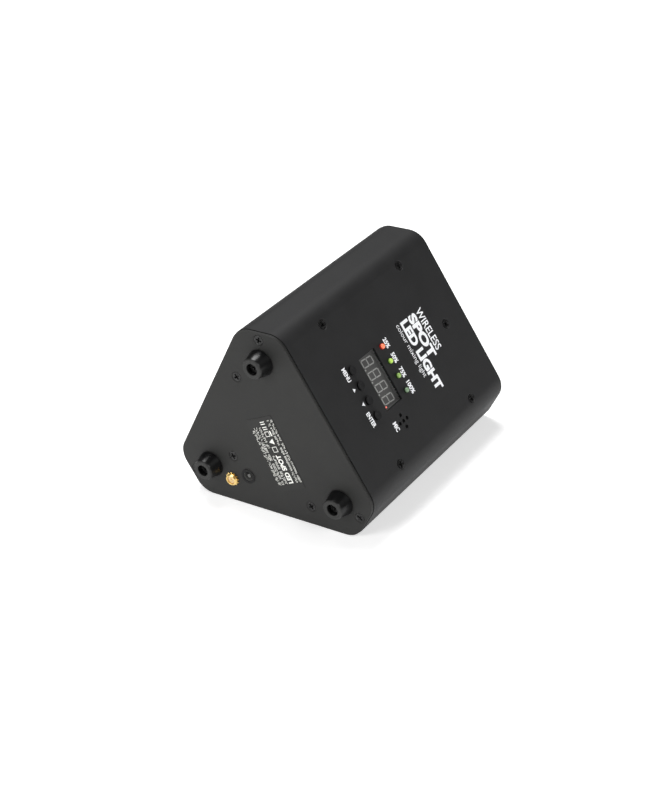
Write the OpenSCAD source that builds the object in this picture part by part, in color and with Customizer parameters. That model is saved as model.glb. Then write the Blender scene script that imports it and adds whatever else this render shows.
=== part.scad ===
// Battery-powered triangular LED spot, lying on one of its three flat sides.
// Millimetres, +Z up. The long axis runs along Y: the base plate with its feet faces -Y
// and the three lenses face +Y. The origin is the bottom centre of the bounding box.
// Inside place() the long axis is Y itself and y = 0 is the base plate's outer face.

/* [Housing] */
// Length from the base plate's outer face to the front plate's outer face
body_len = 135; // [130:1:170]
// Distance from the long axis to each flat side
side_dist = 43.2; // [42:0.1:55]
// Width of each chamfered corner, measured before its two bends
corner_w = 25.5; // [22:0.5:30]
// Outer radius of the bends in the sheet
bend_r = 12; // [9:0.5:12.5]
// Thickness of the wrapped sheet
shell_t = 1.2; // [0.8:0.1:1.6]
// Thickness of the base plate and of the front plate
plate_t = 1.5; // [1:0.1:2.4]
// Gap between each end of the sheet and the plate beside it
seam_gap = 0.35; // [0.1:0.05:0.6]
// How far the plates' edges sit inside the sheet's outer face
plate_inset = 0.3; // [0:0.05:0.6]
// Place of the sheet's lengthwise joint across the lower side
joint_across = 28; // [20:1:32]
// Width of that joint
joint_gap = 0.3; // [0.1:0.1:0.8]

/* [Corner brackets] */
// Thickness of the corner brackets
bracket_t = 1.5; // [1:0.1:2.4]
// How far a bracket's wing runs past its screws
wing_past = 7; // [5:0.5:10]
// Depth of the tabs that the plates are screwed to
tab_depth = 8.6; // [7:0.2:10]

/* [Screws] */
// Diameter of the machine screws
screw_d = 3; // [2.5:0.1:3.4]
// Diameter of a countersunk head
head_d = 5.6; // [5:0.1:6.4]
// Extra diameter of a countersink around its head
sink_clear = 0.6; // [0.3:0.1:1]
// How far a countersunk head sits below the surface
head_sink = 0.2; // [0:0.05:0.4]
// Extra diameter of a clearance hole
hole_clear = 0.4; // [0.2:0.1:0.8]
// Distance of the edge screws from where the bend starts
edge_in = 1; // [0:0.5:4]
// Distance of the edge screws from the base plate's outer face
edge_from_base = 32; // [20:1:40]
// Distance of the edge screws from the front plate's outer face
edge_from_front = 29.6; // [26:0.2:36]
// Distance of the middle screw of each side from the front plate's outer face
middle_from_front = 18.6; // [17:0.2:21]
// Distance of the plates' corner screws from the chamfered corners
corner_screw_in = 4.3; // [4:0.1:5]

/* [Feet] */
// Height of a rubber foot
foot_h = 8; // [5:0.5:14]
// Diameter of a foot against the base plate
foot_base_d = 14.8; // [12:0.2:17]
// Diameter of a foot at its free end
foot_tip_d = 10.9; // [10:0.1:13]
// Diameter of the hollow that a foot's screw sits in
foot_bore_d = 6.4; // [6:0.1:7]
// Thickness of rubber under a foot's screw
foot_floor = 2.5; // [1.5:0.1:4]
// Distance of each foot from the long axis
foot_dist = 47.5; // [44:0.5:47.5]

/* [Control panel] */
// Place of the panel's centre line across its side
panel_across = 0.2; // [-3:0.1:3]
// Spacing of the buttons, and of the level lights
panel_pitch = 8.8; // [8:0.1:10]
// Distance of the buttons from the base plate's outer face
button_along = 34; // [30:0.5:36]
// Distance of the display's centre from the base plate's outer face
display_along = 49.5; // [47:0.5:52]
// Distance of the level lights from the base plate's outer face
light_along = 62.3; // [61:0.1:66]
// Diameter of the button holes
button_hole_d = 5; // [4.2:0.1:6]
// Radial play of a button in its hole
button_play = 0.08; // [0.04:0.01:0.1]
// How far a button stands out of the side
button_out = 1.3; // [0.8:0.1:2]
// How far a button goes in when pressed
button_travel = 0.6; // [0.3:0.1:0.8]
// Diameter of a level light
light_d = 3; // [2:0.1:3.4]
// How far a level light stands out of the side
light_out = 2; // [1:0.1:3]
// Width of the display module
display_w = 30; // [26:0.1:32]
// Height of the display module
display_h = 14; // [12:0.1:15]
// Thickness of the display module
display_t = 7; // [6:0.5:8]
// How far the display's face sits below the side
display_sink = 2.3; // [1.8:0.1:3]
// Gap between the display module and its window, at each edge
window_gap = 0.3; // [0.1:0.1:0.6]
// Place of the microphone holes across the side
mic_across = 25; // [24:0.5:27]
// Spacing of the microphone holes
mic_pitch = 3.4; // [3:0.1:3.6]
// Diameter of each microphone hole
mic_hole_d = 2.2; // [1.6:0.1:2.4]

/* [Connectors] */
// Place of the antenna jack, across and up from the long axis
antenna_at = [-27.8, -29.4];
// Diameter of the antenna jack's thread
antenna_d = 6.35; // [6:0.05:7]
// How far the antenna jack stands out of the base plate
antenna_out = 2; // [1.5:0.1:8]
// Place of the charging jack, across and up from the long axis
charge_at = [-16.9, -24.8];
// Diameter of the charging jack's barrel
charge_d = 7.4; // [7:0.1:8]
// Bore of the charging jack
charge_bore_d = 5.7; // [5.5:0.1:6]
// Diameter of the charging jack's pin
charge_pin_d = 2.1; // [1.7:0.1:2.5]

/* [Power switch] */
// Distance of the power switch from the base plate's outer face
switch_along = 36; // [34:1:50]
// Length of the power switch's frame
switch_l = 15; // [14:0.5:18]
// Width of the power switch's frame
switch_w = 10.5; // [10:0.5:13]
// Thickness of the power switch's frame outside the side
switch_rim = 1.2; // [0.8:0.1:2]
// Angle that the rocker swings through
rocker_swing = 18; // [12:1:20]

/* [Rating label] */
// Length of the label
label_l = 42.5; // [30:0.5:46]
// Width of the label
label_w = 18; // [12:0.5:20]
// Thickness of the label
label_t = 0.15; // [0.1:0.05:0.3]
// Place of the label's centre, across and up from the long axis
label_at = [2.8, -5.6];
// Turn of the label from the line of the panel side
label_turn = -5.7; // [-8:0.1:8]

/* [Battery] */
// Diameter of a battery cell
cell_d = 18.4; // [16:0.1:18.6]
// Length of a battery cell
cell_l = 65; // [50:1:66]
// Distance from the base plate's outer face to the cradle's floor
cradle_y = 16; // [14:0.5:17]

/* [Light engine] */
// Diameter of each lens
lens_d = 36; // [28:0.5:38]
// Distance of each lens from the long axis
lens_dist = 26; // [25:0.5:27]
// Depth of each lens behind the front plate
lens_depth = 16; // [14:0.5:20]
// Thickness of the sheet that carries the light engine
carrier_t = 2; // [1.5:0.1:3]
// Length of the heat sink's fins
fin_l = 14; // [8:1:16]

/* [Hidden] */
$fn = 64;

// Turns about the long axis that bring +Z to the panel, lower and rear side.
panel_side = 60;
lower_side = 180;
rear_side = 300;
sides = [panel_side, lower_side, rear_side];
// Turns that bring +Z to the top, right and left corner.
top_corner = 0;
right_corner = 120;
left_corner = 240;
corners = [top_corner, right_corner, left_corner];
// Directions of the section's six faces, from the right hand round
face_angles = [30, 90, 150, 210, 270, 330];

// Margin by which a cutting shape runs past what it cuts
past = 1;
// Distance from the long axis to each chamfered corner
corner_dist = 2 * side_dist - corner_w * sin(60);
// How far the bends stand above the flat faces
bend_lap = 0.002;
// Half the flat width of a side, where its bends start
side_flat = (corner_dist - side_dist / 2) / sin(60) - bend_r * tan(30);
// Distances from the long axis to the inner faces of the sheet
side_in = side_dist - shell_t;
corner_in = corner_dist - shell_t;
shell_len = body_len - 2 * (plate_t + seam_gap);
front_in = body_len - plate_t;
corner_screw_dist = corner_dist - corner_screw_in;
edge_across = side_flat - edge_in;
// Height along a corner's own direction at which its bracket's wings end
wing_z = side_dist / 2 + (edge_across - wing_past) * sin(60);

// Screw lengths
side_screw_l = 5;
plate_screw_l = 7;
// Depth of a cross recess and its two sizes
cross_t = 0.8;
cross_l = 3;
cross_deep = 1.1;

// Foot screws' washers and nuts
foot_washer_t = 0.8;
foot_nut_t = 2.4;

// Antenna jack: its star washer and thin shoulder outside the base plate, its nut and length
// inside, the depth of its socket and the reach of the washer's teeth
antenna_washer_t = 0.5;
antenna_nut_t = 2;
antenna_in = 7;
antenna_rim_t = 0.2;
antenna_rim_d = antenna_d + 0.6;
antenna_shank_d = antenna_d - 0.5;
antenna_bore_deep = 1.8;
antenna_tooth = 0.8;

// Charging jack: its rim outside the base plate, and its nut and length inside
charge_in = 11;
charge_rim_t = 0.5;
charge_rim_d = charge_d + 1;
charge_nut_t = 2;

// Receiver board, in the rear side's own frame
receiver_pad_t = 1;
receiver_t = 1.2;
receiver_w = 20;
receiver_l = 30;
receiver_across = -8;
receiver_from_base = 54;

// Power switch: its body inside the side, and its rocker
switch_body_h = 9;
rocker_gap = 0.25;
rocker_w = switch_w - 4.1;
rocker_l = switch_l - 4.4;
pivot_d = 2;

// Where the battery cradle is screwed to the base plate: distance and direction
cradle_screws = [[39, 115.4], [39, -55.4], [29.7, -150]];
cradle_boss_d = 7;
cradle_floor_t = 2.5;
cradle_wall_t = 1.2;
cradle_wall_h = 6;
sleeve_t = 0.3;
cell_pitch = cell_d + 0.2;
cell_y = cradle_y + cradle_floor_t;
// The pack's rounded triangle: distance from its centre to a flat face
pack_in = cell_pitch / sqrt(3) + cell_d / 2;
pack_r = cell_d / 2;

// Control board, in the panel side's own frame
board_t = 1.6;
board_top = side_dist - display_sink - display_t;
board_w = 58;
board_l = 44;
board_mid = [panel_across + 2, 48.5];
board_hole_in = 3.5;
post_d = 5;
tact_w = 6;
tact_h = 3.5;
stem_d = 3.2;
button_d = button_hole_d - 2 * button_play;
collar_d = button_hole_d + 1.4;
collar_t = 1;
collar_gap = 0.1;
stem_in = 2;

// Main board, in the lower side's own frame
main_w = 56;
main_l = 68;
main_from_base = 24;
main_post_h = 5;
main_top = side_in - main_post_h - board_t;

// Light engine, measured along the long axis
gasket_t = 1;
gasket_w = 1.6;
lens_seat = front_in - gasket_t;
led_face = lens_seat - lens_depth;
led_board_t = 1.6;
carrier_y = led_face - led_board_t - carrier_t;
carrier_flange = 14;
sink_base_t = 3;
lens_flange_t = 1.5;
lens_clear = 0.15;
holder_t = 1.4;
holder_web_t = 2;

// ---------------------------------------------------------------- frames

// The whole object stands in this frame, on its lower side.
module place() {
    translate([0, -(body_len - foot_h) / 2, side_dist]) children();
}

// A side's or corner's own frame: x across it, y along the body and z outwards.
module turned(turn) {
    rotate([0, turn, 0]) children();
}

// A point of the base plate's outer face, with z pointing out of the base.
module on_base(at) {
    translate([at[0], 0, at[1]]) rotate([90, 0, 0]) children();
}

// A point of the front plate's outer face, with z pointing out of the front.
module on_front(at) {
    translate([at[0], body_len, at[1]]) rotate([-90, 0, 0]) children();
}

// Extrudes a shape drawn across and up, from y to y + t.
module slab(y, t) {
    translate([0, y + t, 0]) rotate([90, 0, 0]) linear_extrude(height = t) children();
}

function polar(dist, angle) = [dist * cos(angle), dist * sin(angle)];

// Direction in the section of a corner's turn
function corner_angle(turn) = 90 - turn;

// ---------------------------------------------------------------- outlines

// Crossing point of two lines, each given by its distance and direction
function crossing(d1, a1, d2, a2) =
    [d1 * sin(a2) - d2 * sin(a1), d2 * cos(a1) - d1 * cos(a2)] / sin(a2 - a1);

// A convex outline with faces at the given directions and distances, and round bends.
// The faces sit a lap lower, so that each bend's arc crosses them cleanly.
module rounded_outline(angles, dists, r, lap = bend_lap) {
    n = len(angles);
    bends = [
        for (i = [0:n - 1])
            let (k = (i + 1) % n)
            crossing(dists[i] - r, angles[i], dists[k] - r, angles[k])
    ];
    polygon([for (i = [0:n - 1], j = [0, 1]) bends[i] + polar(r - lap, angles[(i + j) % n])]);
    for (bend = bends)
        translate(bend) circle(r = r);
}

// The housing's section, set in by an even distance
module section(inset, lap = bend_lap) {
    rounded_outline(
        face_angles,
        [for (i = [0:5]) (i % 2 == 0 ? side_dist : corner_dist) - inset],
        bend_r - inset,
        lap
    );
}

// The battery pack's outline, grown by an even distance
module pack_outline(grow) {
    rounded_outline([30, 150, 270], [for (i = [0:2]) pack_in + grow], pack_r + grow);
}

// ---------------------------------------------------------------- fasteners

// Room for a countersunk screw, with its countersink open at z = 0
module sunk_hole(d, deep) {
    sink_d = head_d + sink_clear;
    cone_h = (sink_d - d) / 2;
    translate([0, 0, -cone_h]) cylinder(h = cone_h, d1 = d, d2 = sink_d);
    cylinder(h = past, d = sink_d);
    translate([0, 0, -deep]) cylinder(h = deep, d = d);
}

module cross_recess() {
    for (turn = [0, 90])
        rotate([0, 0, turn]) translate([-cross_l / 2, -cross_t / 2, -cross_deep])
            cube([cross_l, cross_t, cross_deep + past]);
}

// A countersunk screw whose head is just below z = 0
module sunk_screw(len) {
    cone_h = (head_d - screw_d) / 2;
    translate([0, 0, -head_sink]) difference() {
        union() {
            translate([0, 0, -cone_h]) cylinder(h = cone_h, d1 = screw_d, d2 = head_d);
            translate([0, 0, -len]) cylinder(h = len - cone_h, d = screw_d);
        }
        cross_recess();
    }
}

// A pan-head screw whose head stands on z = 0
module pan_screw(len, d, pan_d, pan_h) {
    difference() {
        union() {
            cylinder(h = pan_h, d = pan_d);
            translate([0, 0, -len]) cylinder(h = len, d = d);
        }
        translate([0, 0, pan_h]) cross_recess();
    }
}

module hex_nut(flats, h, d) {
    difference() {
        cylinder(h = h, d = flats / cos(30), $fn = 6);
        translate([0, 0, -past]) cylinder(h = h + 2 * past, d = d);
    }
}

// Every place on the three sides that has a screw
module side_screw_places() {
    edges = [edge_from_base, body_len - edge_from_front];
    for (side = sides)
        turned(side) {
            for (hand = [-1, 1], along = edges)
                translate([hand * edge_across, along, side_dist]) children();
            translate([0, body_len - middle_from_front, side_dist]) children();
        }
}

// The screws that hold a plate to the three corner brackets
module corner_screw_places() {
    for (turn = corners)
        on_base(polar(corner_screw_dist, corner_angle(turn))) children();
}

module front_screw_places() {
    for (turn = corners)
        on_front(polar(corner_screw_dist, corner_angle(turn))) children();
}

module cradle_screw_places() {
    for (at = cradle_screws)
        on_base(polar(at[0], at[1])) children();
}

module side_screws() {
    color([0.1, 0.1, 0.1]) place() side_screw_places() sunk_screw(side_screw_l);
}

module plate_screws() {
    color([0.1, 0.1, 0.1]) place() {
        corner_screw_places() sunk_screw(plate_screw_l);
        front_screw_places() sunk_screw(plate_screw_l);
        cradle_screw_places() sunk_screw(plate_screw_l);
    }
}

// ---------------------------------------------------------------- housing

module panel_place(across, along, out) {
    turned(panel_side) translate([across, along, side_dist + out]) children();
}

// Place across the panel of the i-th button or light, counted from 0
function panel_row(i) = panel_across + (i - 1.5) * panel_pitch;

// The window, the button and light holes and the microphone holes
module panel_cuts() {
    window = [display_w + 2 * window_gap, display_h + 2 * window_gap, 4 * shell_t];
    panel_place(panel_across, display_along, 0) cube(window, center = true);
    for (i = [0:3]) {
        panel_place(panel_row(i), button_along, -2 * shell_t)
            cylinder(h = 4 * shell_t, d = button_hole_d);
        panel_place(panel_row(i), light_along, -2 * shell_t)
            cylinder(h = 4 * shell_t, d = light_d + 0.2);
    }
    for (step = [[0, 0], [-1, 0], [1, 0], [0, -1], [0, 1]])
        panel_place(mic_across + step[0] * mic_pitch, display_along + step[1] * mic_pitch, -2 * shell_t)
            cylinder(h = 4 * shell_t, d = mic_hole_d);
}

module switch_cut() {
    turned(rear_side) translate([0, switch_along, side_dist])
        cube([switch_w - 2, switch_l - 2, 4 * shell_t], center = true);
}

module housing_shell() {
    color([0.17, 0.17, 0.17]) place() difference() {
        slab(plate_t + seam_gap, shell_len) section(0, 0);
        slab(-body_len / 2, 2 * body_len) section(shell_t, 0);
        panel_cuts();
        switch_cut();
        side_screw_places() sunk_hole(screw_d + hole_clear, 2 * shell_t);
        turned(lower_side) translate([joint_across, 0, side_in - past])
            cube([joint_gap, body_len, shell_t + 2 * past]);
    }
}

module base_plate() {
    color([0.2, 0.2, 0.19]) place() difference() {
        slab(0, plate_t) section(plate_inset);
        corner_screw_places() sunk_hole(screw_d + hole_clear, 2 * plate_t);
        cradle_screw_places() sunk_hole(screw_d + hole_clear, 2 * plate_t);
        foot_places() translate([0, 0, -2 * plate_t]) cylinder(h = 3 * plate_t, d = screw_d + hole_clear);
        on_base(antenna_at) translate([0, 0, -2 * plate_t]) cylinder(h = 3 * plate_t, d = antenna_shank_d + 0.1);
        on_base(charge_at) translate([0, 0, -2 * plate_t]) cylinder(h = 3 * plate_t, d = charge_d + 0.1);
    }
}

// Middle of each lens, drawn across and up
module lens_places() {
    for (turn = corners)
        translate(polar(lens_dist, corner_angle(turn))) children();
}

module front_plate() {
    color([0.17, 0.17, 0.17]) place() difference() {
        slab(front_in, plate_t) section(plate_inset);
        slab(front_in - past, plate_t + 2 * past) lens_places() circle(d = lens_d - 2 * gasket_w);
        front_screw_places() sunk_hole(screw_d + hole_clear, 2 * plate_t);
    }
}

// A folded bracket that lines one corner and carries both plates on its end tabs.
module corner_bracket(turn) {
    inner = shell_t + bracket_t;
    high = corner_dist;
    color([0.72, 0.73, 0.74]) place() difference() {
        turned(turn) difference() {
            intersection() {
                slab(plate_t, body_len - 2 * plate_t) section(shell_t);
                translate([-high, 0, wing_z]) cube([2 * high, body_len, high]);
            }
            slab(plate_t + bracket_t, body_len - 2 * (plate_t + bracket_t)) section(inner);
            intersection() {
                slab(0, body_len) section(inner);
                translate([-high, 0, 0]) cube([2 * high, body_len, corner_in - tab_depth]);
            }
        }
        side_screw_places() sunk_hole(screw_d, 2 * side_screw_l);
        corner_screw_places() translate([0, 0, -2 * plate_screw_l]) cylinder(h = 2 * plate_screw_l, d = screw_d);
        front_screw_places() translate([0, 0, -2 * plate_screw_l]) cylinder(h = 2 * plate_screw_l, d = screw_d);
    }
}

module corner_bracket_top() {
    corner_bracket(top_corner);
}

module corner_bracket_right() {
    corner_bracket(right_corner);
}

module corner_bracket_left() {
    corner_bracket(left_corner);
}

// ---------------------------------------------------------------- feet

module foot_places() {
    for (turn = corners)
        on_base(polar(foot_dist, corner_angle(turn))) children();
}

// A tapered rubber foot with a deep hollow for its screw
module foot(turn) {
    hole_r = (screw_d + hole_clear) / 2;
    base_r = foot_base_d / 2;
    tip_r = foot_tip_d / 2;
    color([0.05, 0.05, 0.055]) place() on_base(polar(foot_dist, corner_angle(turn))) rotate_extrude()
        polygon([
            [hole_r, 0], [base_r - 0.4, 0], [base_r, 0.5], [tip_r + 0.25, foot_h - 0.9],
            [tip_r - 0.15, foot_h - 0.25], [tip_r - 0.6, foot_h], [foot_bore_d / 2, foot_h],
            [foot_bore_d / 2, foot_floor], [hole_r, foot_floor]
        ]);
}

module foot_top() {
    foot(top_corner);
}

module foot_right() {
    foot(right_corner);
}

module foot_left() {
    foot(left_corner);
}

module foot_washers() {
    color([0.6, 0.6, 0.6]) place() foot_places() translate([0, 0, foot_floor]) difference() {
        cylinder(h = foot_washer_t, d = foot_bore_d - 0.2);
        translate([0, 0, -past]) cylinder(h = foot_washer_t + 2 * past, d = screw_d + hole_clear);
    }
}

module foot_screws() {
    reach = foot_floor + foot_washer_t + plate_t + foot_nut_t + 1;
    color([0.45, 0.45, 0.45]) place() foot_places() translate([0, 0, foot_floor + foot_washer_t])
        pan_screw(reach, screw_d, head_d, 2);
}

module foot_nuts() {
    color([0.6, 0.6, 0.6]) place() foot_places() translate([0, 0, -plate_t - foot_nut_t])
        hex_nut(5.5, foot_nut_t, screw_d);
}

// ---------------------------------------------------------------- label and connectors

module rating_label() {
    color([0.14, 0.14, 0.14]) place() on_base(label_at) rotate([0, 0, label_turn - 60])
        translate([-label_l / 2, -label_w / 2, 0]) cube([label_l, label_w, label_t]);
}

module antenna_jack() {
    socket_low = antenna_out - antenna_bore_deep;
    color([0.83, 0.66, 0.3]) place() on_base(antenna_at) difference() {
        union() {
            translate([0, 0, -plate_t - antenna_in])
                cylinder(h = plate_t + antenna_in + antenna_washer_t + past, d = antenna_shank_d);
            translate([0, 0, antenna_washer_t]) cylinder(h = antenna_rim_t, d = antenna_rim_d);
            translate([0, 0, antenna_washer_t]) cylinder(h = antenna_out - antenna_washer_t, d = antenna_d);
        }
        difference() {
            translate([0, 0, socket_low]) cylinder(h = antenna_bore_deep + past, d = 4.6);
            translate([0, 0, socket_low - past]) cylinder(h = past + antenna_bore_deep - 0.5, d = 1.3);
        }
    }
}

module antenna_star_washer() {
    teeth = 12;
    color([0.86, 0.7, 0.35]) place() on_base(antenna_at) linear_extrude(height = antenna_washer_t)
        difference() {
            polygon([
                for (i = [0:teeth - 1], j = [0:3])
                    polar(antenna_d / 2 + (j < 2 ? 0.25 : antenna_tooth), (i + j / 4) * 360 / teeth)
            ]);
            circle(d = antenna_shank_d + 0.1);
        }
}

module antenna_nut() {
    color([0.83, 0.66, 0.3]) place() on_base(antenna_at) translate([0, 0, -plate_t - antenna_nut_t])
        hex_nut(8, antenna_nut_t, antenna_shank_d);
}

module charge_jack() {
    color([0.09, 0.09, 0.09]) place() on_base(charge_at) {
        difference() {
            union() {
                cylinder(h = charge_rim_t, d = charge_rim_d);
                translate([0, 0, -plate_t - charge_in]) cylinder(h = plate_t + charge_in, d = charge_d);
            }
            translate([0, 0, -9]) cylinder(h = 9 + past, d = charge_bore_d);
        }
        translate([0, 0, -9 - past]) cylinder(h = 9 + past - 0.5, d = charge_pin_d);
    }
}

module charge_jack_nut() {
    color([0.6, 0.6, 0.6]) place() on_base(charge_at) translate([0, 0, -plate_t - charge_nut_t])
        hex_nut(10, charge_nut_t, charge_d);
}

module receiver_place(depth) {
    turned(rear_side) translate([receiver_across, receiver_from_base, side_in - depth]) children();
}

module receiver_pad() {
    color([0.85, 0.85, 0.8]) place() receiver_place(receiver_pad_t)
        translate([-receiver_w / 2 + 1, 1, 0]) cube([receiver_w - 2, receiver_l - 2, receiver_pad_t]);
}

module receiver_board() {
    top = receiver_pad_t + receiver_t;
    color([0.1, 0.35, 0.2]) place() {
        receiver_place(top) translate([-receiver_w / 2, 0, 0]) cube([receiver_w, receiver_l, receiver_t]);
        receiver_place(top + 2.4) translate([-7, 9, 0]) cube([14, 18, 2.4]);
        receiver_place(top + 2) translate([0, 4, 0]) cylinder(h = 2, d = 3);
    }
}

// ---------------------------------------------------------------- power switch

// The switch's frame: x across the side, y along the body, z = 0 on the side's outer face.
module switch_place() {
    turned(rear_side) translate([0, switch_along, side_dist]) children();
}

module switch_housing() {
    inner_w = rocker_w + 2 * rocker_gap;
    inner_l = rocker_l + 2 * rocker_gap;
    color([0.07, 0.07, 0.07]) place() switch_place() difference() {
        union() {
            translate([-switch_w / 2, -switch_l / 2, 0]) cube([switch_w, switch_l, switch_rim]);
            translate([-switch_w / 2 + 1.1, -switch_l / 2 + 1.1, -switch_body_h])
                cube([switch_w - 2.2, switch_l - 2.2, switch_body_h]);
            for (along = [-3.5, 3.5])
                translate([-1.6, along - 0.4, -switch_body_h - 4]) cube([3.2, 0.8, 5]);
        }
        translate([-inner_w / 2, -inner_l / 2, -5]) cube([inner_w, inner_l, 5 + switch_rim + past]);
        rotate([0, 90, 0]) translate([0, 0, -inner_w / 2 - 0.8]) cylinder(h = inner_w + 1.6, d = pivot_d + 0.12);
    }
}

// The rocker rests tipped to its off side; its pivot is on the side's outer face.
module power_rocker() {
    tip = rocker_swing / 2;
    half = rocker_l / 2;
    color([0.12, 0.12, 0.12]) place() switch_place() rotate([tip, 0, 0]) {
        translate([-rocker_w / 2, 0, 0]) rotate([90, 0, 90]) linear_extrude(height = rocker_w)
            polygon([
                [-half + 0.5, 2.6], [0, 1.9], [half - 0.5, 2.6], [half - 0.35, 1.2],
                [2.4, -2.4], [-2.4, -2.4], [-half + 0.35, 1.2]
            ]);
        rotate([0, 90, 0]) translate([0, 0, -rocker_w / 2 - 0.9]) cylinder(h = rocker_w + 1.8, d = pivot_d);
    }
}

// ---------------------------------------------------------------- control panel

// The four corners of the control board
module board_corners() {
    for (i = [-1, 1], j = [-1, 1])
        turned(panel_side) translate([
            board_mid[0] + i * (board_w / 2 - board_hole_in),
            board_mid[1] + j * (board_l / 2 - board_hole_in),
            board_top
        ]) children();
}

module control_board() {
    color([0.08, 0.3, 0.16]) place() difference() {
        turned(panel_side) {
            translate([board_mid[0] - board_w / 2, board_mid[1] - board_l / 2, board_top - board_t])
                cube([board_w, board_l, board_t]);
            translate([board_mid[0] - 8, board_mid[1] - 4, board_top - board_t - 1.4]) cube([10, 10, 1.4]);
            translate([board_mid[0] + 14, board_mid[1] - 6, board_top - board_t - 2]) cube([5, 12, 2]);
        }
        board_corners() translate([0, 0, -2 * board_t]) cylinder(h = 3 * board_t, d = screw_d + hole_clear);
    }
}

module control_board_posts() {
    color([0.75, 0.75, 0.75]) place() board_corners() difference() {
        cylinder(h = side_in - board_top, d = post_d);
        translate([0, 0, -past]) cylinder(h = side_in - board_top, d = screw_d);
    }
}

module control_board_screws() {
    color([0.6, 0.6, 0.6]) place() board_corners() translate([0, 0, -board_t]) mirror([0, 0, 1])
        pan_screw(board_t + 4, screw_d, head_d, 1.8);
}

module display_module() {
    sunk = 0.3;
    color([0.33, 0.33, 0.32]) place() panel_place(panel_across, display_along, -display_sink) difference() {
        translate([-display_w / 2, -display_h / 2, -display_t]) cube([display_w, display_h, display_t]);
        translate([-display_w / 2 + 0.6, -display_h / 2 + 0.6, -sunk])
            cube([display_w - 1.2, display_h - 1.2, sunk + past]);
    }
}

module tact_switches() {
    color([0.1, 0.1, 0.1]) place() for (i = [0:3])
        panel_place(panel_row(i), button_along, board_top - side_dist) difference() {
            translate([-tact_w / 2, -tact_w / 2, 0]) cube([tact_w, tact_w, tact_h]);
            translate([0, 0, 0.6]) cylinder(h = tact_h, d = stem_d + 2 * button_play);
        }
}

// A button: its cap in the hole, the collar behind the sheet and the stem in its switch
module button(i) {
    stem_low = board_top + tact_h - stem_in;
    collar_top = side_in - collar_gap;
    turned_to = [panel_row(i), button_along, 0];
    color([0.11, 0.11, 0.11]) place() turned(panel_side) translate(turned_to) {
        difference() {
            union() {
                translate([0, 0, collar_top - collar_t])
                    cylinder(h = side_dist + button_out - 0.3 - collar_top + collar_t, d = button_d);
                translate([0, 0, side_dist + button_out - 0.3])
                    cylinder(h = 0.3, d1 = button_d, d2 = button_d - 0.6);
            }
            translate([0, 0, side_dist + button_out - 0.25]) cylinder(h = past, d = button_d - 1.8);
        }
        translate([0, 0, collar_top - collar_t]) cylinder(h = collar_t, d = collar_d);
        translate([0, 0, stem_low]) cylinder(h = collar_top - stem_low, d = stem_d);
    }
}

module menu_button() {
    button(0);
}

module up_button() {
    button(1);
}

module down_button() {
    button(2);
}

module enter_button() {
    button(3);
}

// A round indicator light on two wires from the board
module level_led(i, tint) {
    tip = side_dist + light_out;
    low = tip - 5.3;
    color(tint) place() turned(panel_side) translate([panel_row(i), light_along, 0]) {
        translate([0, 0, low]) cylinder(h = tip - light_d / 2 - low, d = light_d);
        translate([0, 0, tip - light_d / 2]) sphere(d = light_d);
        translate([0, 0, low]) cylinder(h = 1, d = light_d + 0.8);
        for (hand = [-1, 1])
            translate([hand * 1.27 - 0.25, -0.25, board_top]) cube([0.5, 0.5, low - board_top + 0.5]);
    }
}

module level_led_25() {
    level_led(0, [0.95, 0.25, 0.15]);
}

module level_led_50() {
    level_led(1, [0.6, 0.85, 0.2]);
}

module level_led_75() {
    level_led(2, [0.5, 0.7, 0.25]);
}

module level_led_100() {
    level_led(3, [0.4, 0.5, 0.35]);
}

module microphone() {
    color([0.5, 0.5, 0.5]) place() panel_place(mic_across, display_along, board_top - side_dist) {
        cylinder(h = side_in - board_top - 0.2, d = 9.7);
    }
}

// ---------------------------------------------------------------- main board

module main_place(across, along, up) {
    turned(lower_side) translate([across, main_from_base + along, up]) children();
}

module main_board_corners() {
    for (i = [-1, 1], j = [0, 1])
        main_place(i * (main_w / 2 - board_hole_in), board_hole_in + j * (main_l - 2 * board_hole_in), main_top)
            children();
}

module main_board() {
    color([0.08, 0.3, 0.16]) place() difference() {
        union() {
            main_place(-main_w / 2, 0, main_top) cube([main_w, main_l, board_t]);
            for (i = [0:3])
                main_place(-18 + 12 * i, 8, main_top - 4.5) cylinder(h = 4.5, d = 8);
            for (hand = [-1, 1], i = [0:1])
                main_place(hand * 24.5, 20 + 12 * i, main_top - 8) cylinder(h = 8, d = 6.3);
            main_place(-6, 24, main_top - 1.6) cube([12, 12, 1.6]);
            for (i = [0:2])
                main_place(-15 + 12 * i, 46, main_top - 2.4) cube([6.6, 6.2, 2.4]);
            main_place(-14, main_l - 6, main_top - 5) cube([28, 5, 5]);
        }
        main_board_corners() translate([0, 0, -past]) cylinder(h = board_t + 2 * past, d = 3.2);
    }
}

// Nylon posts with a snap head above the board
module main_board_posts() {
    color([0.9, 0.9, 0.86]) place() main_board_corners() {
        translate([0, 0, board_t]) cylinder(h = main_post_h, d = post_d);
        translate([0, 0, -1]) cylinder(h = board_t + 1.5, d = 3.1);
        translate([0, 0, -2]) cylinder(h = 2, d1 = 2.2, d2 = 3.8);
    }
}

// ---------------------------------------------------------------- battery

module battery_cells() {
    color([0.15, 0.35, 0.6]) place() for (row = [0:2], i = [0:row])
        translate([
            (i - row / 2) * cell_pitch,
            cell_y,
            cell_pitch / sqrt(3) * (row == 0 ? 2 : row == 1 ? 0.5 : -1)
        ]) rotate([-90, 0, 0]) {
            cylinder(h = cell_l - 1, d = cell_d);
            cylinder(h = cell_l, d = 6);
        }
}

module battery_sleeve() {
    start = cell_y + cradle_wall_h + 1;
    long = cell_l - 2 * cradle_wall_h - 2;
    color([0.1, 0.25, 0.55]) place() difference() {
        slab(start, long) pack_outline(sleeve_t + 0.1);
        slab(start - past, long + 2 * past) pack_outline(0.1);
    }
}

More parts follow.
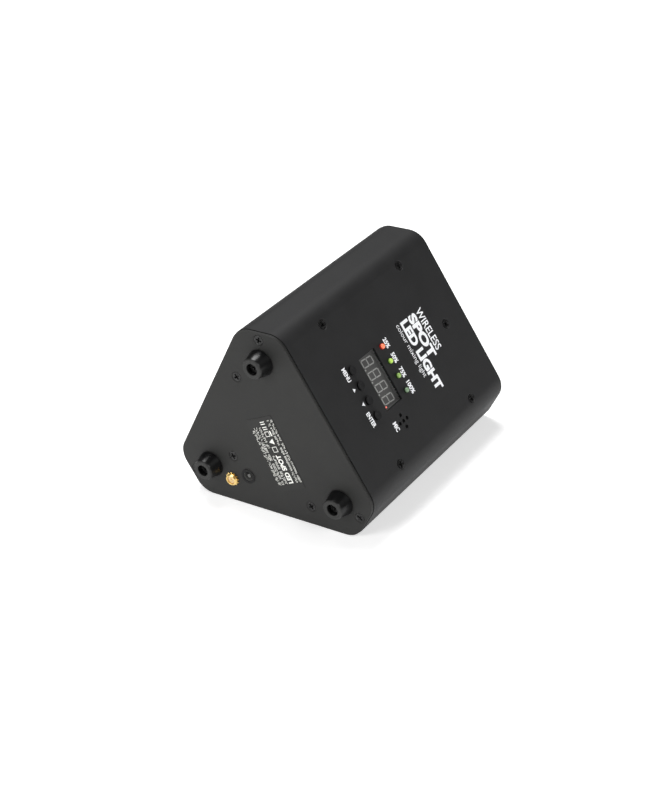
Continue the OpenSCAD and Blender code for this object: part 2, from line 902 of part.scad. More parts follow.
// A moulded floor with a rim round the cells and three bosses that reach the base plate
module battery_cradle() {
    color([0.2, 0.2, 0.2]) place() difference() {
        union() {
            slab(cradle_y, cradle_floor_t + cradle_wall_h) pack_outline(0.2 + cradle_wall_t);
            for (at = cradle_screws) {
                slab(cradle_y, cradle_floor_t) rotate([0, 0, at[1]])
                    translate([0, -cradle_boss_d / 2]) square([at[0], cradle_boss_d]);
                on_base(polar(at[0], at[1])) translate([0, 0, -cradle_y - cradle_floor_t])
                    cylinder(h = cradle_y + cradle_floor_t - plate_t, d = cradle_boss_d);
            }
        }
        slab(cell_y, cradle_wall_h + past) pack_outline(0.2);
        cradle_screw_places() translate([0, 0, -plate_screw_l - 1])
            cylinder(h = plate_screw_l + 1, d = screw_d);
    }
}

module battery_cap() {
    start = cell_y + cell_l - cradle_wall_h;
    color([0.2, 0.2, 0.2]) place() difference() {
        slab(start, cradle_wall_h + 2) pack_outline(0.2 + cradle_wall_t);
        slab(start - past, cradle_wall_h + past) pack_outline(0.2);
        on_base([0, -5]) translate([0, 0, -start - cradle_wall_h - 2 - past]) cylinder(h = 3 + 2 * past, d = 5);
    }
}

// ---------------------------------------------------------------- light engine

// Sheet across the housing with a folded flange on each side
module led_carrier() {
    half = 15;
    long = carrier_t + carrier_flange;
    color([0.72, 0.73, 0.74]) place() difference() {
        union() {
            slab(carrier_y, carrier_t) rounded_outline(
                [30, 150, 270], [for (i = [0:2]) side_in - carrier_t], bend_r
            );
            for (side = sides)
                turned(side) translate([-half, carrier_y, side_in - carrier_t]) cube([2 * half, long, carrier_t]);
        }
        for (turn = corners)
            turned(turn) translate([-50, 0, corner_in - tab_depth - 6]) cube([100, body_len, 100]);
        side_screw_places() sunk_hole(screw_d, 2 * side_screw_l);
        translate([0, carrier_y - past, 0]) rotate([-90, 0, 0]) cylinder(h = carrier_t + 2 * past, d = 9);
    }
}

module heat_sink() {
    half = 27;
    pitch = 6;
    fin_t = 2;
    high = 24;
    color([0.75, 0.76, 0.78]) place() difference() {
        union() {
            translate([-half, carrier_y - sink_base_t, -high]) cube([2 * half, sink_base_t, high + 22]);
            for (i = [-4:4])
                translate([i * pitch - fin_t / 2, carrier_y - sink_base_t - fin_l, -high])
                    cube([fin_t, fin_l + past, high + 22 - (abs(i) > 2 ? 12 : 0)]);
        }
        translate([0, carrier_y - sink_base_t - fin_l - past, 0]) rotate([-90, 0, 0])
            cylinder(h = fin_l + sink_base_t + 2 * past, d = 9);
    }
}

module led_board() {
    color([0.9, 0.9, 0.88]) place() slab(led_face - led_board_t, led_board_t) difference() {
        rounded_outline([30, 150, 270], [for (i = [0:2]) lens_dist], 9);
        circle(d = 9);
    }
}

module led_emitters() {
    color([0.92, 0.85, 0.5]) place() for (turn = corners)
        turned(turn) translate([0, led_face, lens_dist]) {
            translate([-3.5, 0, -3.5]) cube([7, 0.9, 7]);
            rotate([-90, 0, 0]) translate([0, 0, 0.9]) cylinder(h = 1, d1 = 5.4, d2 = 4);
        }
}

// A collimating lens: a wide flange, a bowl that narrows to the emitter and a shallow dome
module lens(turn) {
    flange_r = lens_d / 2;
    bowl_r = flange_r - gasket_w - 0.4;
    deep = lens_depth - 2.4;
    color([0.85, 0.9, 0.95, 0.6]) place() turned(turn) translate([0, lens_seat, lens_dist])
        rotate([-90, 0, 0]) rotate_extrude() polygon([
            [0, -deep + 3], [2.6, -deep + 2], [3.4, -deep], [6, -deep],
            [bowl_r * 0.62, -deep * 0.62], [bowl_r * 0.86, -deep * 0.34], [bowl_r, -lens_flange_t],
            [flange_r, -lens_flange_t], [flange_r, 0], [bowl_r, 0], [bowl_r - 0.3, 0.9],
            [bowl_r * 0.7, 1.5], [bowl_r * 0.36, 1.8], [0, 1.9]
        ]);
}

module lens_top() {
    lens(top_corner);
}

module lens_right() {
    lens(right_corner);
}

module lens_left() {
    lens(left_corner);
}

// Three cups on one web, which keep the lenses over their emitters
module lens_holder() {
    cup_in = lens_d + 2 * lens_clear;
    seat = lens_seat - lens_flange_t;
    color([0.06, 0.06, 0.06]) place() difference() {
        union() {
            slab(led_face, lens_seat - led_face) lens_places() circle(d = cup_in + 2 * holder_t);
            slab(led_face, holder_web_t) rounded_outline([30, 150, 270], [for (i = [0:2]) lens_dist - 6], 6);
        }
        slab(seat, lens_flange_t + past) lens_places() circle(d = cup_in);
        slab(led_face - past, seat - led_face + 2 * past) lens_places() circle(d = lens_d - 2 * gasket_w);
        slab(led_face - past, holder_web_t + 2 * past) circle(d = 9);
    }
}

module lens_gaskets() {
    color([0.08, 0.08, 0.08]) place() difference() {
        slab(lens_seat, gasket_t) lens_places() circle(d = lens_d);
        slab(lens_seat - past, gasket_t + 2 * past) lens_places() circle(d = lens_d - 2 * gasket_w);
    }
}

// ---------------------------------------------------------------- wires

function unit(v) = v / norm(v);

// A smooth curve through the points, with a few steps between each two
function smooth(p, steps = 4) = [
    for (i = [0:len(p) - 2], s = [0:steps - (i == len(p) - 2 ? 0 : 1)])
        let (
            t = s / steps,
            a = p[max(i - 1, 0)],
            b = p[i],
            c = p[i + 1],
            d = p[min(i + 2, len(p) - 1)]
        )
        0.5 * (2 * b + (c - a) * t + (2 * a - 5 * b + 4 * c - d) * t * t + (3 * b - a - 3 * c + d) * t * t * t)
];

// Directions along a path, and a side direction carried along it without twist
function headings(p) = [for (i = [0:len(p) - 1]) unit(p[min(i + 1, len(p) - 1)] - p[max(i - 1, 0)])];
function carried(h, i, side) =
    i == len(h) ? [] : let (now = unit(side - h[i] * (h[i] * side))) concat([now], carried(h, i + 1, now));

// A round wire along a smooth path
module wire(points, d) {
    n = 8;
    path = smooth(points);
    h = headings(path);
    side = carried(h, 0, unit(cross(h[0], abs(h[0][2]) < 0.9 ? [0, 0, 1] : [1, 0, 0])));
    last = len(path) - 1;
    polyhedron(
        points = [
            for (i = [0:last], j = [0:n - 1])
                path[i] + d / 2 * (cos(360 * j / n) * side[i] + sin(360 * j / n) * cross(h[i], side[i]))
        ],
        faces = concat(
            [[for (j = [0:n - 1]) j]],
            [[for (j = [n - 1:-1:0]) last * n + j]],
            [
                for (i = [0:last - 1], j = [0:n - 1])
                    let (k = (j + 1) % n)
                    [i * n + j, (i + 1) * n + j, (i + 1) * n + k, i * n + k]
            ]
        )
    );
}

// A point given in a side's own frame
function side_point(turn, across, along, up) =
    [across * cos(turn) + up * sin(turn), along, up * cos(turn) - across * sin(turn)];

module antenna_pigtail() {
    color([0.25, 0.2, 0.15]) place() wire([
        [antenna_at[0], plate_t + antenna_in, antenna_at[1]],
        [antenna_at[0] - 1, plate_t + antenna_in + 3, antenna_at[1] + 1],
        side_point(rear_side, -26, plate_t + antenna_in + 6, side_in - 14),
        side_point(rear_side, -17, 30, side_in - 8),
        side_point(rear_side, receiver_across - 2, receiver_from_base - 4, side_in - 7),
        side_point(rear_side, receiver_across, receiver_from_base + 4, side_in - 4.9)
    ], 1.4);
}

module charge_leads() {
    far = plate_t + charge_in;
    color([0.6, 0.1, 0.1]) place() wire([
        [charge_at[0], far, charge_at[1]],
        [charge_at[0] + 1, far + 2, charge_at[1] - 2],
        [charge_at[0] + 3, main_from_base - 3, -main_top + 4],
        [charge_at[0] + 4, main_from_base + 4, -main_top + 1.5],
        [charge_at[0] + 4, main_from_base + 8, -main_top + 0.8]
    ], 1.6);
}

module switch_leads() {
    deep = side_dist - switch_body_h - 4;
    color([0.15, 0.15, 0.15]) place() wire([
        side_point(rear_side, 0, switch_along - 3.5, deep),
        side_point(rear_side, -1, switch_along - 4, deep - 3),
        side_point(rear_side, -14, switch_along - 2, deep - 3),
        side_point(rear_side, -33, switch_along, deep - 4),
        side_point(lower_side, 33, switch_along + 2, side_in - 11),
        side_point(lower_side, 21, main_from_base + 10, main_top - 3),
        side_point(lower_side, 19, main_from_base + 8, main_top - 0.8)
    ], 1.6);
}

module control_cable() {
    edge = board_mid[0] + 19;
    color([0.8, 0.8, 0.8]) place() wire([
        side_point(panel_side, edge, board_mid[1], board_top - board_t - 1),
        side_point(panel_side, edge + 6, board_mid[1], board_top - board_t - 4),
        side_point(panel_side, 37, board_mid[1], side_in - 11),
        side_point(lower_side, -36, board_mid[1], side_in - 12),
        side_point(lower_side, -27, main_from_base + 44, main_top - 3),
        side_point(lower_side, -20, main_from_base + 44, main_top - 1.2)
    ], 2.4);
}

module battery_leads() {
    far = cell_y + cell_l + 2;
    color([0.7, 0.1, 0.1]) place() wire([
        [0, far - 2, -5],
        [0, far + 2, -6],
        [2, far + 4, -15],
        [6, far + 3, -22],
        [10, main_from_base + main_l - 3, -main_top + 6]
    ], 3);
}

module led_leads() {
    color([0.8, 0.75, 0.2]) place() wire([
        [-6, main_from_base + main_l - 3, -main_top + 5],
        [-8, main_from_base + main_l + 2, -main_top + 7],
        [-20, carrier_y - 8, -29],
        [-26, carrier_y - 3, -30],
        [-27, carrier_y, -31]
    ], 3);
}

// ---------------------------------------------------------------- output

housing_shell();
base_plate();
front_plate();
corner_bracket_top();
corner_bracket_right();
corner_bracket_left();
side_screws();
plate_screws();
foot_top();
foot_right();
foot_left();
foot_screws();
foot_washers();
foot_nuts();
rating_label();
antenna_jack();
antenna_star_washer();
antenna_nut();
antenna_pigtail();
receiver_board();
receiver_pad();
charge_jack();
charge_jack_nut();
charge_leads();
switch_housing();
power_rocker();
switch_leads();
control_board();
control_board_posts();
control_board_screws();
control_cable();
display_module();
tact_switches();
menu_button();
up_button();
down_button();
enter_button();
level_led_25();
level_led_50();
level_led_75();
level_led_100();
microphone();
main_board();
main_board_posts();
battery_cells();
battery_sleeve();
battery_cradle();
battery_cap();
battery_leads();
led_carrier();
heat_sink();
led_board();
led_emitters();
led_leads();
lens_top();
lens_right();
lens_left();
lens_holder();
lens_gaskets();
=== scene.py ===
"""Looks of a three-lens battery spot: its finishes, prints and fittings, round the CAD frame."""

import logging
import math
import random
from dataclasses import dataclass
from enum import Enum
from typing import Callable, ClassVar, Iterable, Sequence

import bmesh
import bpy
import numpy as np
from mathutils import Matrix, Vector


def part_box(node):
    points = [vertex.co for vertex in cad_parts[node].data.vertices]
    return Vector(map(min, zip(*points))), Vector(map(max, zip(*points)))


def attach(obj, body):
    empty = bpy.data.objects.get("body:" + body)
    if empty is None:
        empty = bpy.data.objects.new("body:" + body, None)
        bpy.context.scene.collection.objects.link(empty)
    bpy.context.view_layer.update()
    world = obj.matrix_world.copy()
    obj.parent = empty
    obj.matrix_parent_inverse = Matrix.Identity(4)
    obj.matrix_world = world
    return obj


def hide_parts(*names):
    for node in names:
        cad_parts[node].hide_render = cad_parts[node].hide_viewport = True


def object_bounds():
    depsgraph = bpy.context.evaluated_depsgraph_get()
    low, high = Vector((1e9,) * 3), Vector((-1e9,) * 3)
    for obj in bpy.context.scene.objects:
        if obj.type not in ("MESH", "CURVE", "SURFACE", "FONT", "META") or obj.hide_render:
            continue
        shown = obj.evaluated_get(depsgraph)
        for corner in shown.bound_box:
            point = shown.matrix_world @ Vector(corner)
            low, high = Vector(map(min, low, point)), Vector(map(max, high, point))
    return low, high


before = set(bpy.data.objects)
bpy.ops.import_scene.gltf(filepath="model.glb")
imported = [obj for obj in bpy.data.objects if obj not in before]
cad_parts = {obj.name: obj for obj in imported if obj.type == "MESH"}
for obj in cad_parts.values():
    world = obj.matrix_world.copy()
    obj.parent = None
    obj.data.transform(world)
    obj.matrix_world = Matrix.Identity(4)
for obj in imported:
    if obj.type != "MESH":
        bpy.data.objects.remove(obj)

CAD_BOX = [list(corner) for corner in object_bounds()]
MM = 0.001
ROOT = "body"
LOG = logging.getLogger("led_spot")

Colour = tuple[float, float, float]
Profile = Sequence[tuple[float, float]]
Builder = Callable[[bmesh.types.BMesh], None]


# ---------------------------------------------------------------- node trees


class Value:
    """A float socket; Python's operators on it add Math nodes to its tree."""

    def __init__(self, graph: "Graph", socket: bpy.types.NodeSocket) -> None:
        """Wraps a socket of a tree."""
        self.graph = graph
        self.socket = socket

    def math(self, operation: str, *terms: "Value | float") -> "Value":
        """Adds one Math node.

        Args:
            operation: the node's operation.
            terms: its inputs, in order.

        Returns:
            The node's result.
        """
        node = self.graph.add("ShaderNodeMath", {"operation": operation}, dict(enumerate(terms)))
        return Value(self.graph, node.outputs[0])

    def __add__(self, other: "Value | float") -> "Value":
        """self + other."""
        return self.math("ADD", self, other)

    __radd__ = __add__

    def __mul__(self, other: "Value | float") -> "Value":
        """self * other."""
        return self.math("MULTIPLY", self, other)

    __rmul__ = __mul__

    def __sub__(self, other: "Value | float") -> "Value":
        """self - other."""
        return self.math("SUBTRACT", self, other)

    def __rsub__(self, other: "Value | float") -> "Value":
        """other - self."""
        return self.math("SUBTRACT", other, self)

    def rise(self, low: float, high: float) -> "Value":
        """A smooth step from 0 at low to 1 at high.

        Args:
            low: where it leaves 0.
            high: where it reaches 1.

        Returns:
            The step.
        """
        node = self.graph.add(
            "ShaderNodeMapRange", {"interpolation_type": "SMOOTHSTEP"},
            {"Value": self, "From Min": low, "From Max": high},
        )
        return Value(self.graph, node.outputs[0])


class Graph:
    """A node tree, and the one way that nodes are added to it."""

    def __init__(self, tree: bpy.types.NodeTree) -> None:
        """Works on a tree."""
        self.tree = tree

    def add(self, kind: str, settings: dict | None = None, sockets: dict | None = None) -> bpy.types.Node:
        """Adds a node, sets it up and then fills its sockets.

        Args:
            kind: the node's type.
            settings: its properties.
            sockets: an input's name or index, with the value or link it gets.

        Returns:
            The node.
        """
        node = self.tree.nodes.new(kind)
        for name, value in (settings or {}).items():
            setattr(node, name, value)
        for key, value in (sockets or {}).items():
            target = node.inputs[key]
            if isinstance(value, Value):
                value = value.socket
            if isinstance(value, bpy.types.NodeSocket):
                self.tree.links.new(value, target)
            else:
                target.default_value = value
        return node


class Shader(Graph):
    """One material's nodes."""

    def __init__(self, name: str) -> None:
        """Starts an empty material with Object coordinates in it."""
        self.material = bpy.data.materials.new(name)
        self.material.use_nodes = True
        super().__init__(self.material.node_tree)
        self.tree.nodes.clear()
        self.place = self.add("ShaderNodeTexCoord").outputs["Object"]

    def along(self, direction: Sequence[float]) -> Value:
        """Distance of a surface point along a direction, from the origin.

        Args:
            direction: the direction, of length 1.

        Returns:
            The distance, in metres.
        """
        node = self.add(
            "ShaderNodeVectorMath", {"operation": "DOT_PRODUCT"}, {0: self.place, 1: tuple(direction)}
        )
        return Value(self, node.outputs["Value"])

    def stretched(self, scale: Sequence[float]) -> bpy.types.NodeSocket:
        """The place with each axis scaled."""
        return self.add("ShaderNodeMapping", None, {"Vector": self.place, "Scale": tuple(scale)}).outputs[0]

    def noise(self, size: float, detail: float = 2.0, place: bpy.types.NodeSocket | None = None) -> Value:
        """Noise from 0 to 1.

        Args:
            size: size of its lumps, in metres.
            detail: how many finer layers it has.
            place: where it is read, or None for Object coordinates.

        Returns:
            The noise.
        """
        node = self.add(
            "ShaderNodeTexNoise", None,
            {"Vector": place or self.place, "Scale": 1 / size, "Detail": detail, "Roughness": 0.55},
        )
        return Value(self, node.outputs[0])

    def cells(self, size: float, place: bpy.types.NodeSocket | None = None) -> Value:
        """Distance to the middle of the nearest of many small cells of that size.

        Args:
            size: size of a cell, in metres.
            place: where it is read, or None for Object coordinates.

        Returns:
            The distance, from 0 at a cell's middle.
        """
        node = self.add("ShaderNodeTexVoronoi", None, {"Vector": place or self.place, "Scale": 1 / size})
        return Value(self, node.outputs["Distance"])

    def mix(self, share: Value | float, first: object, second: object) -> bpy.types.NodeSocket:
        """A colour between two others.

        Args:
            share: how much of the second there is.
            first: a colour or a colour socket.
            second: a colour or a colour socket.

        Returns:
            The mixed colour.
        """
        sockets = {
            0: share,
            6: (*first, 1.0) if isinstance(first, tuple) else first,
            7: (*second, 1.0) if isinstance(second, tuple) else second,
        }
        return self.add("ShaderNodeMix", {"data_type": "RGBA"}, sockets).outputs[2]

    def relief(
        self, height: Value, depth: float, over: bpy.types.NodeSocket | None = None
    ) -> bpy.types.NodeSocket:
        """A bumped normal.

        Args:
            height: relief from 0 to 1.
            depth: its real depth in metres.
            over: a normal that it is laid over.

        Returns:
            The normal.
        """
        sockets = {"Height": height, "Distance": depth, "Strength": 1.0}
        if over is not None:
            sockets["Normal"] = over
        return self.add("ShaderNodeBump", None, sockets).outputs[0]

    def surface(self, **sockets: object) -> bpy.types.Material:
        """Ends the material in a Principled shader.

        Args:
            sockets: the shader's inputs, with _ for a space.

        Returns:
            The material.
        """
        named = {}
        for key, value in sockets.items():
            is_colour = isinstance(value, tuple) and len(value) == 3
            named[key.replace("_", " ")] = (*value, 1.0) if is_colour else value
        shader = self.add("ShaderNodeBsdfPrincipled", None, named)
        self.add("ShaderNodeOutputMaterial", None, {"Surface": shader.outputs[0]})
        return self.material


# ---------------------------------------------------------------- finishes


@dataclass(frozen=True)
class Finish:
    """A finish: its name and main colour."""

    name: str
    colour: Colour
    made: ClassVar[dict["Finish", bpy.types.Material]] = {}

    def shade(self, shader: Shader) -> bpy.types.Material:
        """Builds the finish's nodes in a new shader.

        Args:
            shader: the empty tree that the nodes go in.

        Returns:
            The finished material.
        """
        raise NotImplementedError

    def material(self) -> bpy.types.Material:
        """The finish's material, made once."""
        if self not in Finish.made:
            Finish.made[self] = self.shade(Shader(self.name + "_finish"))
        return Finish.made[self]

    def scaled(self, factor: float) -> Colour:
        """The colour, brighter or darker."""
        return tuple(min(1.0, c * factor) for c in self.colour)


@dataclass(frozen=True)
class PowderCoat(Finish):
    """Baked powder paint: a fine pebbled skin over sheet metal."""

    roughness: float = 0.56
    pebble: float = 0.35 * MM
    depth: float = 0.018 * MM

    def shade(self, shader: Shader) -> bpy.types.Material:
        """Pebbles in relief, with drifting colour and a few paler specks.

        Args:
            shader: the empty tree that the nodes go in.

        Returns:
            The finished material.
        """
        pebbles = shader.cells(self.pebble)
        drift = shader.noise(14 * MM, 3.0)
        specks = shader.noise(0.16 * MM, 1.0).rise(0.66, 0.8)
        tone = shader.mix(drift.rise(0.3, 0.7), self.scaled(0.88), self.scaled(1.1))
        tone = shader.mix(specks * 0.35, tone, self.scaled(2.2))
        rough = self.roughness + (drift - 0.5) * 0.12 + pebbles * 0.08
        skin = shader.relief(shader.noise(2.2 * MM, 2.0), 0.03 * MM)
        return shader.surface(
            Base_Color=tone, Roughness=rough, Normal=shader.relief(1 - pebbles, self.depth, skin),
            Specular_IOR_Level=0.35,
        )


@dataclass(frozen=True)
class Rubber(Finish):
    """Moulded rubber, shiny on its flank and dull where it was rubbed."""

    dull_below: float = -1.0
    gloss: float = 0.24

    def shade(self, shader: Shader) -> bpy.types.Material:
        """Shine that gives way to a dull paler tip.

        Args:
            shader: the empty tree that the nodes go in.

        Returns:
            The finished material.
        """
        tip = 1 - shader.along((0, 1, 0)).rise(self.dull_below, self.dull_below + 0.5 * MM)
        smear = shader.noise(3 * MM, 3.0)
        grain = shader.noise(0.25 * MM, 3.0)
        rough = self.gloss + smear * 0.1 + tip * 0.35
        tone = shader.mix(tip * (0.7 + 0.3 * grain), self.colour, (0.032, 0.032, 0.031))
        return shader.surface(
            Base_Color=tone, Roughness=rough, Normal=shader.relief(grain, 0.0008 * MM),
            Specular_IOR_Level=0.35,
        )


@dataclass(frozen=True)
class Plated(Finish):
    """Plated or bare metal with faint drawn streaks."""

    roughness: float = 0.3
    streaks: tuple[float, float, float] = (1.0, 0.04, 1.0)
    stain: float = 0.12

    def shade(self, shader: Shader) -> bpy.types.Material:
        """Streaks along one direction and a drifting tarnish.

        Args:
            shader: the empty tree that the nodes go in.

        Returns:
            The finished material.
        """
        lines = shader.noise(0.25 * MM, 4.0, shader.stretched(self.streaks))
        tarnish = shader.noise(5 * MM, 4.0).rise(0.35, 0.75)
        tone = shader.mix(tarnish * self.stain * 4, self.colour, self.scaled(0.7))
        rough = self.roughness + lines * 0.16 + tarnish * 0.12
        return shader.surface(
            Base_Color=tone, Metallic=1.0, Roughness=rough, Normal=shader.relief(lines, 0.004 * MM)
        )


@dataclass(frozen=True)
class BlackOxide(Finish):
    """Blackened steel with oil in it, in paler blotches."""

    def shade(self, shader: Shader) -> bpy.types.Material:
        """Dark, half-metallic and a little blotched.

        Args:
            shader: the empty tree that the nodes go in.

        Returns:
            The finished material.
        """
        blotch = shader.noise(1.1 * MM, 3.0)
        fine = shader.noise(0.12 * MM, 2.0)
        tone = shader.mix(blotch.rise(0.4, 0.75), self.colour, self.scaled(2.4))
        return shader.surface(
            Base_Color=tone, Metallic=0.7, Roughness=0.2 + blotch * 0.12, Specular_IOR_Level=0.3,
            Normal=shader.relief(fine, 0.0015 * MM),
        )


@dataclass(frozen=True)
class Moulded(Finish):
    """Injection-moulded plastic with a fine spark-eroded grain."""

    roughness: float = 0.45
    grain: float = 0.15 * MM
    depth: float = 0.003 * MM
    coat: float = 0.0
    shine: float = 0.5

    def shade(self, shader: Shader) -> bpy.types.Material:
        """Fine grain and a slow drift of tone.

        Args:
            shader: the empty tree that the nodes go in.

        Returns:
            The finished material.
        """
        grain = shader.noise(self.grain, 2.0)
        drift = shader.noise(6 * MM, 2.0)
        tone = shader.mix(drift, self.scaled(0.9), self.scaled(1.12))
        return shader.surface(
            Base_Color=tone, Roughness=self.roughness + (grain - 0.5) * 0.14,
            Normal=shader.relief(grain, self.depth), Coat_Weight=self.coat, Specular_IOR_Level=self.shine,
        )


@dataclass(frozen=True)
class CapPlastic(Finish):
    """Black plastic, polished on its flank and duller near its top, with one colour near the top and another
    deeper down: this paints shade on the button flanks and light in the charging socket's bore.
    """

    out: tuple[float, float, float] = (0.0, 0.0, 1.0)
    top: float = 0.0

    def shade(self, shader: Shader) -> bpy.types.Material:
        """Duller within a short way of the top, where the colour changes: painted shade below a button's top,
        painted light inside the charging socket.

        Args:
            shader: the empty tree that the nodes go in.

        Returns:
            The finished material.
        """
        # top_band is 1 near the top; deeper down the own colour paints shade on button flanks and light in
        # the socket's bore
        top_band = shader.along(self.out).rise(self.top - 0.55 * MM, self.top - 0.3 * MM)
        grain = shader.noise(0.14 * MM, 2.0)
        tone = shader.mix(top_band * (0.85 + 0.3 * grain), self.colour, (0.020, 0.020, 0.0205))
        return shader.surface(
            Base_Color=tone, Roughness=0.35 + top_band * 0.25 + grain * 0.06, Specular_IOR_Level=0.08,
            Normal=shader.relief(grain, 0.003 * MM),
        )


@dataclass(frozen=True)
class PrintInk(Finish):
    """Screen-printed ink with slightly uneven cover; where glow is set, the ink gives off light: painted
    light on the print.
    """

    # glow: emission strength of the ink, painted light that makes the print brighter than the lamps light it
    glow: float = 0.0

    def shade(self, shader: Shader) -> bpy.types.Material:
        """Thin and thick patches of ink, glowing by glow: painted light.

        Args:
            shader: the empty tree that the nodes go in.

        Returns:
            The finished material.
        """
        cover = shader.noise(0.5 * MM, 3.0)
        tone = shader.mix(cover.rise(0.25, 0.6), self.scaled(0.86), self.colour)
        return shader.surface(
            Base_Color=tone, Roughness=0.48 + cover * 0.12, Normal=shader.relief(cover, 0.004 * MM),
            Emission_Color=tone, Emission_Strength=self.glow,
        )


@dataclass(frozen=True)
class LitEpoxy(Finish):
    """A tinted indicator light, brighter towards its tip."""

    deep: Colour = (0.1, 0.0, 0.0)
    glow: float = 0.6
    base: float = 0.0
    tip: float = 1.0
    out: tuple[float, float, float] = (0.0, 0.0, 1.0)

    def shade(self, shader: Shader) -> bpy.types.Material:
        """A glow that grows from the rim to the tip of the dome.

        Args:
            shader: the empty tree that the nodes go in.

        Returns:
            The finished material.
        """
        height = shader.along(self.out).rise(self.base, self.tip)
        cloud = shader.noise(0.6 * MM, 2.0)
        tone = shader.mix(height * (0.8 + cloud * 0.3), self.deep, self.colour)
        return shader.surface(
            Base_Color=tone, Roughness=0.1 + cloud * 0.06, Emission_Color=tone, Emission_Strength=self.glow,
            Coat_Weight=0.6, Normal=shader.relief(cloud, 0.004 * MM),
        )


@dataclass(frozen=True)
class ClearAcrylic(Finish):
    """Polished optical plastic."""

    def shade(self, shader: Shader) -> bpy.types.Material:
        """Clear, with a faint haze in its roughness.

        Args:
            shader: the empty tree that the nodes go in.

        Returns:
            The finished material.
        """
        haze = shader.noise(3 * MM, 2.0)
        return shader.surface(
            Base_Color=self.colour, Roughness=0.02 + haze * 0.05, IOR=1.49, Transmission_Weight=0.9,
            Normal=shader.relief(haze, 0.004 * MM),
        )


@dataclass(frozen=True)
class CircuitBoard(Finish):
    """Solder resist over copper tracks, with small tinned pads."""

    def shade(self, shader: Shader) -> bpy.types.Material:
        """Tracks as edges of coarse cells, and pads in rows.

        Args:
            shader: the empty tree that the nodes go in.

        Returns:
            The finished material.
        """
        cell = shader.add(
            "ShaderNodeTexVoronoi", {"feature": "DISTANCE_TO_EDGE", "distance": "EUCLIDEAN"},
            {"Vector": shader.place, "Scale": 1 / (4 * MM)},
        )
        tracks = 1 - Value(shader, cell.outputs[0]).rise(0.03, 0.06)
        pads = 1 - shader.cells(2.54 * MM).rise(0.12, 0.16)
        tone = shader.mix(tracks * 0.6, self.colour, self.scaled(1.8))
        tone = shader.mix(pads, tone, (0.62, 0.6, 0.55))
        return shader.surface(
            Base_Color=tone, Metallic=pads * 0.8, Roughness=0.4 - pads * 0.12,
            Normal=shader.relief(tracks, 0.03 * MM),
        )


@dataclass(frozen=True)
class Wire(Finish):
    """Wire insulation: smooth, with a faint ripple from its strands."""

    def shade(self, shader: Shader) -> bpy.types.Material:
        """A soft ripple, painted darker in its hollows as shade, and dust in the roughness.

        Args:
            shader: the empty tree that the nodes go in.

        Returns:
            The finished material.
        """
        ripple = shader.noise(0.9 * MM, 2.0)
        # Darker in the ripple's hollows and paler on its ridges: painted shade and light along the strands.
        tone = shader.mix(ripple, self.scaled(0.85), self.scaled(1.1))
        return shader.surface(
            Base_Color=tone, Roughness=0.38 + ripple * 0.12, Normal=shader.relief(ripple, 0.03 * MM)
        )


@dataclass(frozen=True)
class Foam(Finish):
    """Open foam tape or gasket."""

    def shade(self, shader: Shader) -> bpy.types.Material:
        """Small pores in relief, darker in their hollows: painted shade in the pores.

        Args:
            shader: the empty tree that the nodes go in.

        Returns:
            The finished material.
        """
        pores = shader.cells(0.45 * MM)
        # The pore hollows are darker: painted shade in the pores.
        tone = shader.mix(pores.rise(0.2, 0.7), self.scaled(0.6), self.colour)
        return shader.surface(Base_Color=tone, Roughness=0.9, Normal=shader.relief(pores, 0.12 * MM))


@dataclass(frozen=True)
class Emitter(Finish):
    """A light-emitting diode's package: white ceramic round a domed phosphor."""

    def shade(self, shader: Shader) -> bpy.types.Material:
        """Phosphor grains over an even body.

        Args:
            shader: the empty tree that the nodes go in.

        Returns:
            The finished material.
        """
        grain = shader.noise(0.1 * MM, 2.0)
        tone = shader.mix(grain, self.colour, self.scaled(0.75))
        return shader.surface(
            Base_Color=tone, Roughness=0.3 + grain * 0.1, Normal=shader.relief(grain, 0.01 * MM)
        )


# ---------------------------------------------------------------- frames and meshes


@dataclass(frozen=True)
class Face:
    """A flat face to build on: across and along lie in it, and out leaves it."""

    origin: Vector
    across: Vector
    along: Vector
    out: Vector

    def at(self, across: float, along: float, out: float = 0.0) -> Vector:
        """A point of the row frame from this face's own coordinates."""
        return self.origin + across * self.across + along * self.along + out * self.out

    def matrix(self, across: float = 0.0, along: float = 0.0, out: float = 0.0) -> Matrix:
        """Carries a mesh drawn in x across, y along and z out to its place."""
        axes = Matrix((self.across, self.along, self.out)).transposed().to_4x4()
        return Matrix.Translation(self.at(across, along, out)) @ axes

    def spans(self, points: np.ndarray) -> list[tuple[float, float]]:
        """Lowest and highest value of some points along each of the face's directions.

        Args:
            points: places in the row frame.

        Returns:
            The ends across, along and out.
        """
        local = points - np.array(self.origin)
        return [
            (float((local @ np.array(d)).min()), float((local @ np.array(d)).max()))
            for d in (self.across, self.along, self.out)
        ]


def corners_of(node: str) -> np.ndarray:
    """Vertex places of a CAD node, in the row frame.

    Args:
        node: the CAD node's name.

    Returns:
        One row for each vertex.
    """
    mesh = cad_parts[node].data
    places = np.zeros(len(mesh.vertices) * 3)
    mesh.vertices.foreach_get("co", places)
    return places.reshape(-1, 3)


def solids_of(node: str) -> list[np.ndarray]:
    """Vertex places of each separate solid of a CAD node.

    Args:
        node: the CAD node's name.

    Returns:
        One array of places for each solid, in a steady order.
    """
    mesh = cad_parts[node].data
    places = corners_of(node)
    _, same = np.unique(np.round(places, 6), axis=0, return_inverse=True)
    same = same.reshape(-1)
    parent = list(range(int(same.max()) + 1))

    def top(i: int) -> int:
        """The group that i belongs to."""
        while parent[i] != i:
            parent[i] = parent[parent[i]]
            i = parent[i]
        return i

    for polygon in mesh.polygons:
        first, *others = (int(same[v]) for v in polygon.vertices)
        for other in others:
            parent[top(other)] = top(first)
    groups = np.array([top(int(i)) for i in same])
    found = [places[groups == g] for g in np.unique(groups)]
    return sorted(found, key=lambda p: tuple(np.round(p.mean(0), 4)))


